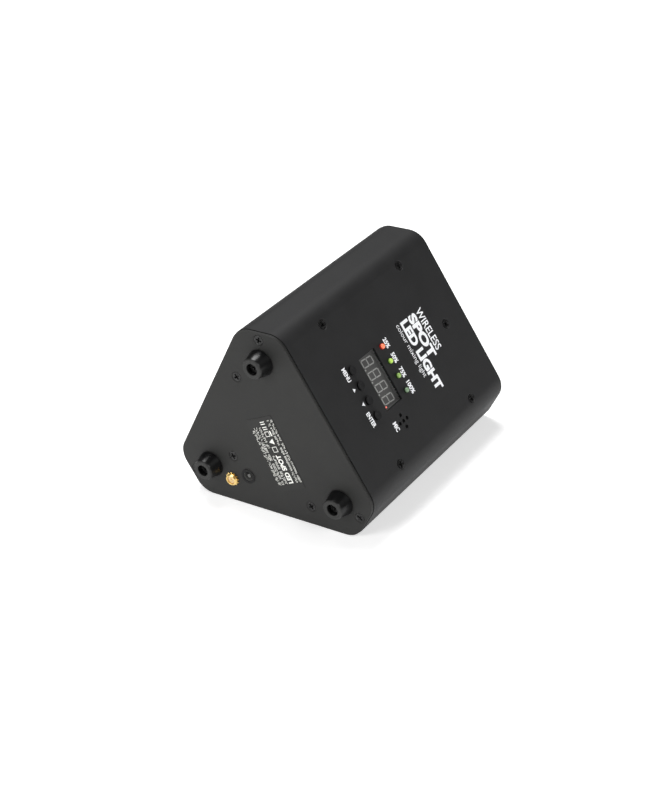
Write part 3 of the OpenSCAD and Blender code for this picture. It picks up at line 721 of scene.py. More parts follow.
def settled(piece: bpy.types.Object) -> bpy.types.Mesh:
    """The piece's mesh with its modifiers applied.

    Args:
        piece: the piece.

    Returns:
        A new mesh.
    """
    bpy.context.view_layer.update()
    evaluated = piece.evaluated_get(bpy.context.evaluated_depsgraph_get())
    return bpy.data.meshes.new_from_object(evaluated)


def new_piece(
    name: str, mesh: bpy.types.Mesh, finish: Finish | None = None, smooth: float = 0.0
) -> bpy.types.Object:
    """Puts a mesh in the scene as a piece whose place is in its mesh.

    Args:
        name: the piece's name.
        mesh: the mesh, in the row frame.
        finish: its finish, or None where its material slots are already filled.
        smooth: edges flatter than this angle, in degrees, are shaded smooth.

    Returns:
        The piece.
    """
    piece = bpy.data.objects.new(name, mesh)
    bpy.context.scene.collection.objects.link(piece)
    if finish is not None:
        mesh.materials.clear()
        mesh.materials.append(finish.material())
    if smooth:
        mesh.shade_smooth()
        mesh.set_sharp_from_angle(angle=math.radians(smooth))
        weigh = piece.modifiers.new("weigh", "WEIGHTED_NORMAL")
        weigh.keep_sharp = True
        piece.data = settled(piece)
        piece.modifiers.clear()
    return piece


def face_outwards(shape: bmesh.types.BMesh) -> None:
    """Merges doubled points, then turns every face of each closed shell outwards.

    Args:
        shape: the shape, which is changed.
    """
    bmesh.ops.remove_doubles(shape, verts=shape.verts, dist=1e-7)
    bmesh.ops.recalc_face_normals(shape, faces=shape.faces)
    left = set(shape.faces)
    while left:
        shell, edge = set(), [left.pop()]
        while edge:
            face = edge.pop()
            shell.add(face)
            near = {other for side in face.edges for other in side.link_faces if other in left}
            left -= near
            edge += near
        if sum(_cone(face) for face in shell) < 0:
            bmesh.ops.reverse_faces(shape, faces=list(shell))


def _cone(face: bmesh.types.BMFace) -> float:
    """Six times the signed volume between a face and the origin.

    Args:
        face: the face.

    Returns:
        The volume, above 0 facing outwards.
    """
    first, *others = (v.co for v in face.verts)
    return sum(first.dot(a.cross(b)) for a, b in zip(others, others[1:]))


def mesh_from(build: Builder, name: str, place: Matrix | None = None) -> bpy.types.Mesh:
    """Makes a closed mesh with its normals outwards.

    Args:
        build: fills an empty bmesh.
        name: the mesh's name.
        place: carries it to its place.

    Returns:
        The mesh.
    """
    shape = bmesh.new()
    build(shape)
    if place is not None:
        shape.transform(place)
    face_outwards(shape)
    mesh = bpy.data.meshes.new(name)
    shape.to_mesh(mesh)
    shape.free()
    return mesh


def turned(profile: Profile, steps: int = 64) -> Builder:
    """A solid of revolution about z.

    Args:
        profile: radius and height of each point, from the axis round to the axis or as a closed ring.
        steps: facets round the axis.

    Returns:
        A builder for mesh_from.
    """

    def build(shape: bmesh.types.BMesh) -> None:
        """Lofts the profile round the axis."""
        closed = profile[0][0] > 1e-9
        rings = []
        for radius, height in profile:
            if radius < 1e-9:
                rings.append([shape.verts.new((0, 0, height))])
                continue
            turn = [2 * math.pi * k / steps for k in range(steps)]
            places = [(radius * math.cos(a), radius * math.sin(a), height) for a in turn]
            rings.append([shape.verts.new(place) for place in places])
        pairs = list(zip(rings, rings[1:] + rings[:1])) if closed else list(zip(rings, rings[1:]))
        for low, high in pairs:
            for k in range(steps):
                j = (k + 1) % steps
                ring = [low[k % len(low)], low[j % len(low)], high[j % len(high)], high[k % len(high)]]
                unique = list(dict.fromkeys(ring))
                if len(unique) > 2:
                    shape.faces.new(unique)

    return build


def rounded(profile: Profile, radius: float, steps: int = 4) -> list[tuple[float, float]]:
    """A profile with each inner corner rounded off.

    Args:
        profile: its corners; the first and last are kept.
        radius: how far each rounding reaches along its sides.
        steps: points in each rounding.

    Returns:
        The rounded profile.
    """
    result = [profile[0]]
    for before, corner, after in zip(profile, profile[1:], profile[2:]):
        a, b, c = (Vector(p) for p in (before, corner, after))
        reach = min(radius, (a - b).length * 0.45, (c - b).length * 0.45)
        start, end = b + (a - b).normalized() * reach, b + (c - b).normalized() * reach
        for k in range(steps + 1):
            t = k / steps
            result.append(tuple(start * (1 - t) ** 2 + b * 2 * t * (1 - t) + end * t * t))
    result.append(profile[-1])
    return result


def lofted(levels: Sequence[tuple[Profile, float]], around: bool = False) -> Builder:
    """A solid between outlines that all have the same number of points.

    Args:
        levels: each outline with its height.
        around: whether the last outline joins the first, as in a frame; otherwise both ends are closed.

    Returns:
        A builder for mesh_from.
    """

    def build(shape: bmesh.types.BMesh) -> None:
        """Adds the ends and the sides."""
        rings = [[shape.verts.new((x, y, height)) for x, y in outline] for outline, height in levels]
        following = rings[1:]
        if around:
            following.append(rings[0])
        else:
            shape.faces.new(rings[0])
            shape.faces.new(rings[-1])
        for low, high in zip(rings, following):
            for k in range(len(low)):
                j = (k + 1) % len(low)
                shape.faces.new([low[k], low[j], high[j], high[k]])

    return build


def prism(outline: Profile, low: float, high: float) -> Builder:
    """A straight prism over an outline, from one height to another.

    Args:
        outline: its points, in order.
        low: height of one end.
        high: height of the other.

    Returns:
        A builder for mesh_from.
    """
    return lofted([(outline, low), (outline, high)])


def box_outline(x0: float, x1: float, y0: float, y1: float, corner: float = 0.0) -> list[tuple[float, float]]:
    """A rectangle, with its corners rounded where corner is above 0.

    Args:
        x0: its left.
        x1: its right.
        y0: its bottom.
        y1: its top.
        corner: the corners' radius.

    Returns:
        Its points, in order.
    """
    if corner <= 0:
        return [(x0, y0), (x1, y0), (x1, y1), (x0, y1)]
    points = []
    for cx, cy, start in ((x1, y0, -90), (x1, y1, 0), (x0, y1, 90), (x0, y0, 180)):
        mx = cx - corner if cx == x1 else cx + corner
        my = cy - corner if cy == y1 else cy + corner
        for k in range(5):
            a = math.radians(start + 22.5 * k)
            points.append((mx + corner * math.cos(a), my + corner * math.sin(a)))
    return points


def together(*parts: Builder) -> Builder:
    """Several builders as one.

    Args:
        parts: the builders.

    Returns:
        A builder for mesh_from.
    """

    def build(shape: bmesh.types.BMesh) -> None:
        """Runs each builder in turn."""
        for part in parts:
            part(shape)

    return build


def shifted(part: Builder, place: Matrix) -> Builder:
    """A builder whose result is moved.

    Args:
        part: the builder.
        place: the move.

    Returns:
        A builder for mesh_from.
    """

    def build(shape: bmesh.types.BMesh) -> None:
        """Builds, then moves only what was added."""
        before = set(shape.verts)
        part(shape)
        bmesh.ops.transform(shape, matrix=place, verts=[v for v in shape.verts if v not in before])

    return build


def carved(name: str, base: bpy.types.Mesh, cutter: bpy.types.Mesh, bevel: float) -> bpy.types.Mesh:
    """A mesh with another cut out of it and its sharp edges eased.

    Args:
        name: the result's name.
        base: what is cut.
        cutter: what is taken away.
        bevel: width of the eased edges.

    Returns:
        The cut mesh.
    """
    body, tool = new_piece(name, base), new_piece(name + "_tool", cutter)
    cut = body.modifiers.new("cut", "BOOLEAN")
    cut.object, cut.operation, cut.solver = tool, "DIFFERENCE", "EXACT"
    if bevel:
        ease = body.modifiers.new("ease", "BEVEL")
        ease.width = bevel
        ease.segments = 2
        ease.limit_method = "ANGLE"
        ease.angle_limit = math.radians(28)
    mesh = settled(body)
    for helper in (body, tool):
        bpy.data.objects.remove(helper)
    return mesh


def bevelled(
    name: str, mesh: bpy.types.Mesh, finish: Finish, width: float, segments: int = 3
) -> bpy.types.Object:
    """A piece whose sharp edges are rounded off.

    Args:
        name: the piece's name.
        mesh: its mesh, in the row frame.
        finish: its finish.
        width: reach of the rounding.
        segments: faces across it.

    Returns:
        The piece.
    """
    draft = new_piece(name + "_draft", mesh)
    ease = draft.modifiers.new("ease", "BEVEL")
    ease.width = width
    ease.segments = segments
    ease.limit_method = "ANGLE"
    ease.angle_limit = math.radians(30)
    result = settled(draft)
    bpy.data.objects.remove(draft)
    return new_piece(name, result, finish, 32)


# ---------------------------------------------------------------- repeated fittings


class Facing(Enum):
    """Where the fittings of one set may face."""

    SIDES = "sides"
    ENDS = "ends"


class Scatter:
    """A Geometry Nodes tree that sets one fitting on every point of a mesh, facing outwards."""

    def __init__(self) -> None:
        """Builds the tree and notes its inputs' identifiers."""
        tree = bpy.data.node_groups.new("fitting_scatter", "GeometryNodeTree")
        graph = Graph(tree)
        sockets = {}
        for name, kind in (
            ("Points", "NodeSocketGeometry"), ("Fitting", "NodeSocketObject"),
            ("Finish", "NodeSocketMaterial"), ("Size", "NodeSocketFloat"),
            ("Free Turn", "NodeSocketFloat"), ("Seed", "NodeSocketInt"),
        ):
            sockets[name] = tree.interface.new_socket(name, in_out="INPUT", socket_type=kind)
        tree.interface.new_socket("Geometry", in_out="OUTPUT", socket_type="NodeSocketGeometry")
        given = graph.add("NodeGroupInput").outputs
        facing = graph.add(
            "GeometryNodeInputNamedAttribute", {"data_type": "FLOAT_VECTOR"}, {"Name": "facing"}
        )
        aligned = graph.add("FunctionNodeAlignRotationToVector", {"axis": "Z"}, {"Vector": facing.outputs[0]})
        shape = graph.add("GeometryNodeObjectInfo", None, {"Object": given["Fitting"]})
        placed = graph.add(
            "GeometryNodeInstanceOnPoints", None,
            {
                "Points": given["Points"], "Instance": shape.outputs["Geometry"],
                "Rotation": aligned.outputs[0], "Scale": given["Size"],
            },
        )
        chance = graph.add(
            "FunctionNodeRandomValue", {"data_type": "FLOAT"},
            {2: 0.0, 3: given["Free Turn"], "Seed": given["Seed"]},
        )
        drawn = next(o for o in chance.outputs if o.enabled)
        spin = graph.add("ShaderNodeCombineXYZ", None, {"Z": drawn})
        spun = graph.add(
            "GeometryNodeRotateInstances", None, {"Instances": placed.outputs[0], "Rotation": spin.outputs[0]}
        )
        real = graph.add("GeometryNodeRealizeInstances", None, {0: spun.outputs[0]})
        dressed = graph.add(
            "GeometryNodeSetMaterial", None, {0: real.outputs[0], "Material": given["Finish"]}
        )
        graph.add("NodeGroupOutput", None, {0: dressed.outputs[0]})
        self.tree = tree
        self.sockets = {name: item.identifier for name, item in sockets.items()}

    def lay(
        self, name: str, fitting: bpy.types.Mesh, finish: Finish,
        places: Sequence[tuple[Vector, Vector]], free_turn: float = 2 * math.pi, seed: int = 7,
    ) -> bpy.types.Object:
        """Sets copies of a fitting on places and makes one plain mesh of them.

        Args:
            name: the piece's name.
            fitting: the fitting's mesh, standing on z = 0 and facing +z.
            finish: its finish.
            places: each copy's place and the direction that it faces.
            free_turn: how far each copy may be turned about its own axis.
            seed: the turns' seed.

        Returns:
            The piece.
        """
        points = bpy.data.meshes.new(name + "_points")
        points.from_pydata([tuple(p) for p, _ in places], [], [])
        attribute = points.attributes.new("facing", "FLOAT_VECTOR", "POINT")
        attribute.data.foreach_set("vector", [c for _, d in places for c in d])
        carrier, pattern = new_piece(name + "_carrier", points), new_piece(name + "_pattern", fitting)
        modifier = carrier.modifiers.new("scatter", "NODES")
        modifier.node_group = self.tree
        values = {
            "Fitting": pattern, "Finish": finish.material(),
            "Size": 1.0, "Free Turn": free_turn, "Seed": seed,
        }
        for key, value in values.items():
            modifier[self.sockets[key]] = value
        mesh = settled(carrier)
        for helper in (carrier, pattern):
            bpy.data.objects.remove(helper)
        return new_piece(name, mesh, finish, 32)


@dataclass
class Fasteners:
    """The countersunk screws that hold the sheet, the plates and the cradle."""

    head_d: float = 5.35 * MM
    shank_d: float = 3.0 * MM
    rim: float = 0.18 * MM
    recess: float = 3.4 * MM
    blade: float = 0.95 * MM
    depth: float = 1.25 * MM
    finish: Finish = BlackOxide("black_oxide", (0.026, 0.026, 0.026))

    def screw(self, length: float) -> bpy.types.Mesh:
        """One screw with its head's top at z = 0.

        Args:
            length: overall length.

        Returns:
            Its mesh.
        """
        head, shank = self.head_d / 2, self.shank_d / 2
        cone = head - shank
        profile = rounded(
            [
                (0, 0.05 * MM), (head * 0.5, 0.045 * MM), (head, -0.02 * MM), (head, -self.rim),
                (shank, -cone - self.rim * 0.5), (shank, -length + 0.4 * MM),
                (shank - 0.4 * MM, -length), (0, -length),
            ],
            0.12 * MM, 3,
        )
        base = mesh_from(turned(profile, 56), "screw_blank")
        bars = []
        for turn in (0, 90):
            bars.append(shifted(self._blade(), Matrix.Rotation(math.radians(turn), 4, "Z")))
        middle = turned([(0, MM), (0.95 * MM, MM), (0.78 * MM, 0), (0.25 * MM, -self.depth - 0.25 * MM),
                         (0, -self.depth - 0.3 * MM)], 16)
        first = carved("screw_cut", base, mesh_from(bars[0], "blade"), 0.0)
        second = carved("screw_cut", first, mesh_from(bars[1], "blade"), 0.0)
        return carved("screw", second, mesh_from(middle, "centre"), 0.08 * MM)

    def _blade(self) -> Builder:
        """One tapered slot of the cross recess.

        Returns:
            A builder for mesh_from.
        """
        half, wide = self.recess / 2, self.blade / 2
        levels = []
        for z, share in ((MM, 1.12), (0.0, 1.0), (-self.depth, 0.55)):
            x, y = half * share, wide * (0.6 + 0.4 * share)
            levels.append((box_outline(-x, x, -y, y), z))
        return lofted(levels)

    def places(self, node: str, facing: Facing) -> list[tuple[Vector, Vector]]:
        """Where a node's screws are.

        Args:
            node: the CAD node that holds them.
            facing: whether they face the sides or the ends.

        Returns:
            The middle of each head's top and the direction it faces.
        """
        if facing is Facing.SIDES:
            turns = [math.radians(t) for t in (60, 180, 300)]
            outs = [Vector((math.sin(t), 0, math.cos(t))) for t in turns]
        else:
            outs = [Vector((0, -1, 0)), Vector((0, 1, 0))]
        lo, hi = (Vector(c) for c in CAD_BOX)
        axis = Vector((0, (lo.y + hi.y) / 2, section_middle().z))
        found = []
        for solid in solids_of(node):
            out = max(outs, key=lambda d: d.dot(Vector(solid.mean(0)) - axis))
            along = Vector((1, 0, 0)) if facing is Facing.ENDS else Vector((0, 1, 0))
            face = Face(Vector((0, 0, 0)), along, out.cross(along), out)
            spans = face.spans(solid)
            middle = face.at(sum(spans[0]) / 2, sum(spans[1]) / 2, spans[2][1])
            found.append((middle, out))
        return found

    def build(self, scatter: Scatter) -> None:
        """Makes both sets of screws.

        Args:
            scatter: sets the screws on their places.
        """
        for node, facing in (("side_screws", Facing.SIDES), ("plate_screws", Facing.ENDS)):
            places = self.places(node, facing)
            solid = solids_of(node)[0]
            out = np.array(places[0][1])
            length = float(np.ptp(solid @ out))
            piece = scatter.lay(node + "_detailed", self.screw(length), self.finish, places)
            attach(piece, ROOT)
            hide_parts(node)
            LOG.info("%s: %d screws, %.1f mm long", piece.name, len(places), length / MM)


def section_middle() -> Vector:
    """A point of the long axis, from the three feet round it."""
    middles = [np.mean(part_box(n), axis=0) for n in ("foot_top", "foot_right", "foot_left")]
    return Vector(np.mean(middles, axis=0))


# ---------------------------------------------------------------- the object's own frames


def side_out(turn: float) -> Vector:
    """Outward direction of a side or corner, by its turn in degrees from straight up."""
    return Vector((math.sin(math.radians(turn)), 0, math.cos(math.radians(turn))))


def base_face() -> Face:
    """The base plate's outer face: across to the right, along upwards, from the long axis."""
    origin = section_middle()
    origin.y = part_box("base_plate")[0][1]
    return Face(origin, Vector((1, 0, 0)), Vector((0, 0, 1)), Vector((0, -1, 0)))


def front_face() -> Face:
    """The front plate's outer face, from the long axis."""
    origin = section_middle()
    origin.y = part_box("front_plate")[1][1]
    return Face(origin, Vector((-1, 0, 0)), Vector((0, 0, 1)), Vector((0, 1, 0)))


def side_face(turn: float) -> Face:
    """A side's outer face, from its centre line at the base plate's outer face.

    Args:
        turn: the side's turn in degrees from straight up.

    Returns:
        The face.
    """
    out = side_out(turn)
    origin = base_face().origin
    reach = max((corners_of("front_plate") - np.array(origin)) @ np.array(out))
    skin = max((corners_of("housing_shell") - np.array(origin)) @ np.array(out))
    along = Vector((0, 1, 0))
    return Face(origin + out * max(reach, skin), along.cross(out), along, out)


def centre_on(face: Face, node: str) -> tuple[float, float]:
    """Middle of a CAD node across and along a face.

    Args:
        face: the face.
        node: the CAD node's name.

    Returns:
        The two distances.
    """
    across, along, _ = face.spans(corners_of(node))
    return sum(across) / 2, sum(along) / 2


def dress_nodes(finish: Finish, *nodes: str) -> None:
    """Gives CAD nodes one finish.

    Args:
        finish: the finish.
        nodes: the CAD nodes.
    """
    for node in nodes:
        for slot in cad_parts[node].material_slots:
            slot.material = finish.material()
        LOG.info("%s: %s", node, finish.name)


def settle_piece(piece: bpy.types.Object, slot: str, *nodes: str, body: str = ROOT) -> bpy.types.Object:
    """Ties a finished piece to a body, and lets it stand for CAD nodes.

    Args:
        piece: the piece.
        slot: its material slot; not used.
        nodes: the CAD nodes that it stands for.
        body: the body that it moves with.

    Returns:
        The same piece.
    """
    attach(piece, body)
    if nodes:
        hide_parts(*nodes)
    LOG.info("%s: %d faces", piece.name, len(piece.data.polygons))
    return piece


def softened(node: str, finish: Finish, slot: str, width: float, body: str = ROOT) -> bpy.types.Object:
    """Stands a CAD node's own shape with eased edges in for it.

    Args:
        node: the CAD node.
        finish: its finish.
        slot: its material slot.
        width: reach of the eased edges.
        body: the body that it moves with.

    Returns:
        The piece.
    """

    def build(shape: bmesh.types.BMesh) -> None:
        """Copies the node and joins its flat faces."""
        shape.from_mesh(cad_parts[node].data)
        bmesh.ops.remove_doubles(shape, verts=shape.verts, dist=2e-6)
        bmesh.ops.dissolve_limit(
            shape, angle_limit=math.radians(0.5), verts=shape.verts, edges=shape.edges, delimit={"NORMAL"}
        )

    piece = bevelled(node + "_eased", mesh_from(build, node + "_eased"), finish, width)
    return settle_piece(piece, slot, node, body=body)


# ---------------------------------------------------------------- print


@dataclass(frozen=True)
class Line:
    """One line of print and the rectangle that it fills on its face."""

    words: str
    across: tuple[float, float]
    along: tuple[float, float]
    weight: float = 0.0

    def mesh(self, face: Face, low: float = -0.01 * MM, high: float = 0.02 * MM) -> bpy.types.Mesh:
        """The letters as thin solids on a face.

        Args:
            face: the face that they lie on.
            low: how deep they reach into it.
            high: how far they stand out of it.

        Returns:
            The mesh, in the row frame.
        """
        curve = bpy.data.curves.new("line", "FONT")
        curve.body, curve.size, curve.extrude = self.words, 1.0, 0.5
        curve.offset, curve.resolution_u = self.weight, 4
        draft = bpy.data.objects.new("line", curve)
        bpy.context.scene.collection.objects.link(draft)
        mesh = settled(draft)
        bpy.data.objects.remove(draft)
        places = np.array([v.co for v in mesh.vertices])
        lo, hi = places.min(0), places.max(0)
        want_lo = np.array([self.across[0], self.along[0], low])
        want_hi = np.array([self.across[1], self.along[1], high])
        places = want_lo + (places - lo) / (hi - lo) * (want_hi - want_lo)
        mesh.vertices.foreach_set("co", places.reshape(-1))
        mesh.transform(face.matrix())
        mesh.update()
        return mesh


def joined(name: str, meshes: Iterable[bpy.types.Mesh], finish: Finish) -> bpy.types.Object:
    """One piece from several meshes.

    Args:
        name: the piece's name.
        meshes: the meshes, in the row frame.
        finish: their finish.

    Returns:
        The piece.
    """
    shape = bmesh.new()
    for mesh in meshes:
        shape.from_mesh(mesh)
    face_outwards(shape)
    mesh = bpy.data.meshes.new(name)
    shape.to_mesh(mesh)
    shape.free()
    return new_piece(name, mesh, finish)


def bar(start: tuple[float, float], end: tuple[float, float], wide: float) -> list[tuple[float, float]]:
    """Outline of a display segment: a bar with pointed ends.

    Args:
        start: one end.
        end: the other end.
        wide: its width.

    Returns:
        Its points, in order.
    """
    a, b = Vector(start), Vector(end)
    run = (b - a).normalized() * wide / 2
    side = Vector((-run.y, run.x))
    return [tuple(p) for p in (a, a + run - side, b - run - side, b, b - run + side, a + run + side)]


def ring_outline(radius: float, steps: int = 24) -> list[tuple[float, float]]:
    """Points of a circle."""
    return [(radius * math.cos(2 * math.pi * k / steps), radius * math.sin(2 * math.pi * k / steps))
            for k in range(steps)]


# ---------------------------------------------------------------- sub-assemblies


@dataclass
class Housing:
    """The wrapped sheet, the two end plates and the brackets inside the corners."""

    sheet: Finish = PowderCoat("sheet_paint", (0.0125, 0.0125, 0.0130))
    # A lighter copy of the sheet's black paint: the extra lightness paints the light that the base plate
    # catches.
    base: Finish = PowderCoat("base_paint_painted_light", (0.0185, 0.0185, 0.0175), roughness=0.6)
    front: Finish = PowderCoat("front_paint", (0.0125, 0.0125, 0.0130), roughness=0.58)
    zinc: Finish = Plated("zinc_sheet", (0.6, 0.61, 0.62), roughness=0.34, streaks=(1.0, 0.06, 1.0))

    def dress(self) -> None:
        """Paints the sheet metal and finishes the brackets."""
        dress_nodes(self.sheet, "housing_shell")
        dress_nodes(self.base, "base_plate")
        dress_nodes(self.front, "front_plate")
        dress_nodes(self.zinc, "corner_bracket_top", "corner_bracket_right", "corner_bracket_left")


@dataclass
class Feet:
    """The three tapered rubber feet, with the screws sunk in them."""

    base_r: float = 7.4 * MM
    tip_r: float = 5.45 * MM
    bore_r: float = 3.2 * MM
    hole_r: float = 1.7 * MM
    floor: float = 2.5 * MM
    steel: Finish = Plated("plain_steel", (0.42, 0.42, 0.41), roughness=0.3, streaks=(1.0, 1.0, 1.0))
    black: Finish = BlackOxide("black_oxide", (0.026, 0.026, 0.026))

    def build(self) -> None:
        """Turns each foot with rounded rims."""
        face = base_face()
        for node in ("foot_top", "foot_right", "foot_left"):
            lo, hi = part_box(node)
            high = hi[1] - lo[1]
            rubber = Rubber(
                "foot_rubber", (0.0045, 0.0045, 0.0047), dull_below=lo[1] + 0.25 * MM
            )
            flank = rounded(
                [
                    (self.hole_r, 0), (self.base_r - 0.2 * MM, 0), (self.base_r, 0.35 * MM),
                    (self.tip_r + 0.22 * MM, high - 0.75 * MM), (self.tip_r - 0.3 * MM, high),
                    (self.bore_r + 0.15 * MM, high), (self.bore_r, high - 0.15 * MM),
                    (self.bore_r, self.floor), (self.hole_r, self.floor),
                ],
                0.3 * MM, 4,
            )
            mesh = mesh_from(turned(flank, 72), node, face.matrix(*centre_on(face, node)))
            settle_piece(new_piece(node + "_turned", mesh, rubber, 40), "foot_rubber", node)

    def dress(self) -> None:
        """Finishes the screws, washers and nuts."""
        dress_nodes(self.black, "foot_screws", "foot_washers")
        dress_nodes(self.steel, "foot_nuts", "charge_jack_nut", "control_board_posts", "control_board_screws")


@dataclass
class ReadOut:
    """The four-digit display behind its window."""

    rim: float = 0.55 * MM
    sunk: float = 0.28 * MM
    digit_h: float = 9.2 * MM
    digit_w: float = 4.7 * MM
    stroke: float = 0.62 * MM
    pitch: float = 7.35 * MM
    lift: float = 0.5 * MM
    slant: float = 5.0
    case: Finish = Moulded("display_case", (0.085, 0.085, 0.083), roughness=0.35)
    unlit: Finish = PrintInk("unlit_segment", (0.42, 0.42, 0.41))
    lit: Finish = LitEpoxy("lit_point", (1.0, 0.55, 0.5), deep=(0.9, 0.2, 0.15), glow=1.2)
    collar: float = 1.0 * MM
    wall: float = 0.2 * MM
    # The trim's grey is much paler than the black paint round it: painted light on the window's wall, which
    # sits in shade.
    trim: Finish = Moulded("window_trim", (0.11, 0.11, 0.108), roughness=0.5)

    def build(self, panel: Face) -> None:
        """Makes the case with its sunken face, and the segments on it.

        Args:
            panel: the panel side's face.
        """
        q, s, o = panel.spans(corners_of("display_module"))
        mid = (sum(q) / 2, sum(s) / 2)
        wide, long, deep = q[1] - q[0], s[1] - s[0], o[1] - o[0]
        outer = box_outline(-wide / 2, wide / 2, -long / 2, long / 2, 0.4 * MM)
        half_wide, half_long = wide / 2 - self.rim, long / 2 - self.rim
        inner = box_outline(-half_wide, half_wide, -half_long, half_long, 0.3 * MM)
        face = Face(panel.at(*mid, o[1]), panel.across, panel.along, panel.out)

        levels = [(outer, -deep), (outer, 0), (inner, 0), (inner, -self.sunk)]
        tray = mesh_from(lofted(levels), "display_case", face.matrix())
        body = bevelled("display_case", tray, self.case, 0.08 * MM, 2)
        settle_piece(body, "display_face", "display_module")
        around = box_outline(-wide / 2, wide / 2, -long / 2, long / 2)
        inside = box_outline(
            -wide / 2 + self.wall, wide / 2 - self.wall, -long / 2 + self.wall, long / 2 - self.wall
        )
        seat = -0.05 * MM
        levels = [(around, seat), (around, self.collar), (inside, self.collar), (inside, seat)]
        # The trim lines the window's wall; its pale finish paints light there.
        trim = mesh_from(lofted(levels, around=True), "window_trim", face.matrix())
        settle_piece(new_piece("window_trim", trim, self.trim), "display_face")
        unlit, lit = [], []
        for i in range(4):
            middle = (i - 1.5) * self.pitch
            unlit += [self.flat(o, middle) for o in self.segments()]
            point = [(x + self.digit_w / 2 + 0.9 * MM, y - self.digit_h / 2 + 0.3 * MM)
                     for x, y in ring_outline(0.5 * MM, 16)]
            (lit if i == 3 else unlit).append(self.flat(point, middle))
        base = -self.sunk - 0.01 * MM
        for name, outlines, finish, slot in (
            ("display_segments", unlit, self.unlit, "display_face"),
            ("display_lit_point", lit, self.lit, "led_red"),
        ):
            solids = together(*(prism(o, base, -self.sunk + 0.03 * MM) for o in outlines))
            settle_piece(new_piece(name, mesh_from(solids, name, face.matrix()), finish), slot)

    def segments(self) -> list[list[tuple[float, float]]]:
        """Outlines of one digit's seven segments, upright round its middle.

        Returns:
            The seven outlines.
        """
        x, y, gap = self.digit_w / 2 - self.stroke / 2, self.digit_h / 2 - self.stroke / 2, 0.12 * MM
        pairs = [((-x + gap, v), (x - gap, v)) for v in (-y, 0.0, y)]
        for h in (-x, x):
            pairs += [((h, gap), (h, y - gap)), ((h, -y + gap), (h, -gap))]
        return [bar(a, b, self.stroke) for a, b in pairs]

    def flat(self, outline: Profile, middle: float) -> list[tuple[float, float]]:
        """Slants an outline and moves it to its digit.

        Args:
            outline: an upright outline round a digit's middle.
            middle: the digit's middle.

        Returns:
            The slanted outline.
        """
        lean = math.tan(math.radians(self.slant))
        return [(x + y * lean + middle, y + self.lift) for x, y in outline]


@dataclass
class LevelLights:
    """The four domed lights that show how full the battery is."""

    radius: float = 1.5 * MM
    flange: float = 1.9 * MM
    low: float = 5.3 * MM
    leads: Finish = Plated("tinned_lead", (0.66, 0.66, 0.64), roughness=0.25)
    tints: tuple[tuple[str, str, Colour, Colour, float], ...] = (
        ("level_led_25", "led_red", (1.0, 0.17, 0.07), (0.16, 0.004, 0.002), 0.8),
        ("level_led_50", "led_green", (0.40, 0.62, 0.07), (0.015, 0.05, 0.004), 0.5),
        ("level_led_75", "led_green", (0.24, 0.40, 0.08), (0.01, 0.03, 0.004), 0.32),
        ("level_led_100", "led_dim", (0.20, 0.32, 0.18), (0.008, 0.02, 0.008), 0.16),
    )

    def build(self, panel: Face) -> None:
        """Makes each light with its two leads.

        Args:
            panel: the panel side's face.
        """
        for node, slot, colour, deep, glow in self.tints:
            q, s, o = panel.spans(corners_of(node))
            face = Face(panel.at(sum(q) / 2, sum(s) / 2, o[1]), panel.across, panel.along, panel.out)
            tip = float(face.origin @ panel.out)
            finish = LitEpoxy(
                node + "_epoxy", colour, deep=deep, glow=glow,
                base=tip - 1.7 * MM, tip=tip - 0.1 * MM, out=tuple(panel.out),
            )
            dome = [(self.radius * math.sin(a), self.radius * (math.cos(a) - 1))
                    for a in (math.radians(6 * k) for k in range(16))]
            profile = dome + [
                (self.radius, -self.low + MM), (self.flange, -self.low + MM),
                (self.flange, -self.low), (0, -self.low),
            ]
            mesh = mesh_from(turned(profile, 48), node, face.matrix())
            settle_piece(new_piece(node + "_dome", mesh, finish, 35), slot, node)
            end = o[0] - o[1]
            rods = [prism(box_outline(x - 0.25 * MM, x + 0.25 * MM, -0.25 * MM, 0.25 * MM), end, -self.low)
                    for x in (-1.27 * MM, 1.27 * MM)]
            wires = mesh_from(together(*rods), node + "_leads", face.matrix())
            settle_piece(new_piece(node + "_leads", wires, self.leads), "plain_steel")


@dataclass
class Buttons:
    """The four round push buttons, each on its own moving body."""

    cap_r: float = 2.42 * MM
    collar_r: float = 3.2 * MM
    stem_r: float = 1.6 * MM
    cap_h: float = 2.6 * MM
    collar_t: float = 1.0 * MM
    dish: float = 0.22 * MM
    names: tuple[str, ...] = ("menu_button", "up_button", "down_button", "enter_button")

    def build(self, panel: Face) -> None:
        """Turns each button about its own axis.

        Args:
            panel: the panel side's face.
        """
        top_level = float(panel.at(0, 0, panel.spans(corners_of(self.names[0]))[2][1]) @ panel.out)
        # The caps' own colour, far darker than their tops, paints shade on the flanks that face away from the
        # light.
        plastic = CapPlastic("button_black", (0.003, 0.003, 0.003), out=tuple(panel.out), top=top_level)
        for name in self.names:
            q, s, o = panel.spans(corners_of(name))
            face = Face(panel.at(sum(q) / 2, sum(s) / 2, o[1]), panel.across, panel.along, panel.out)
            low = o[0] - o[1]
            top = rounded(
                [(0, -self.dish), (self.cap_r * 0.45, -self.dish * 0.8), (self.cap_r - 0.75 * MM, 0),
                 (self.cap_r, 0), (self.cap_r, -self.cap_h)],
                0.35 * MM, 4,
            )
            profile = top + [
                (self.collar_r, -self.cap_h), (self.collar_r, -self.cap_h - self.collar_t),
                (self.stem_r, -self.cap_h - self.collar_t), (self.stem_r, low), (0, low),
            ]
            mesh = mesh_from(turned(profile, 48), name, face.matrix())
            settle_piece(new_piece(name + "_cap", mesh, plastic, 35), "button_black", name, body=name)


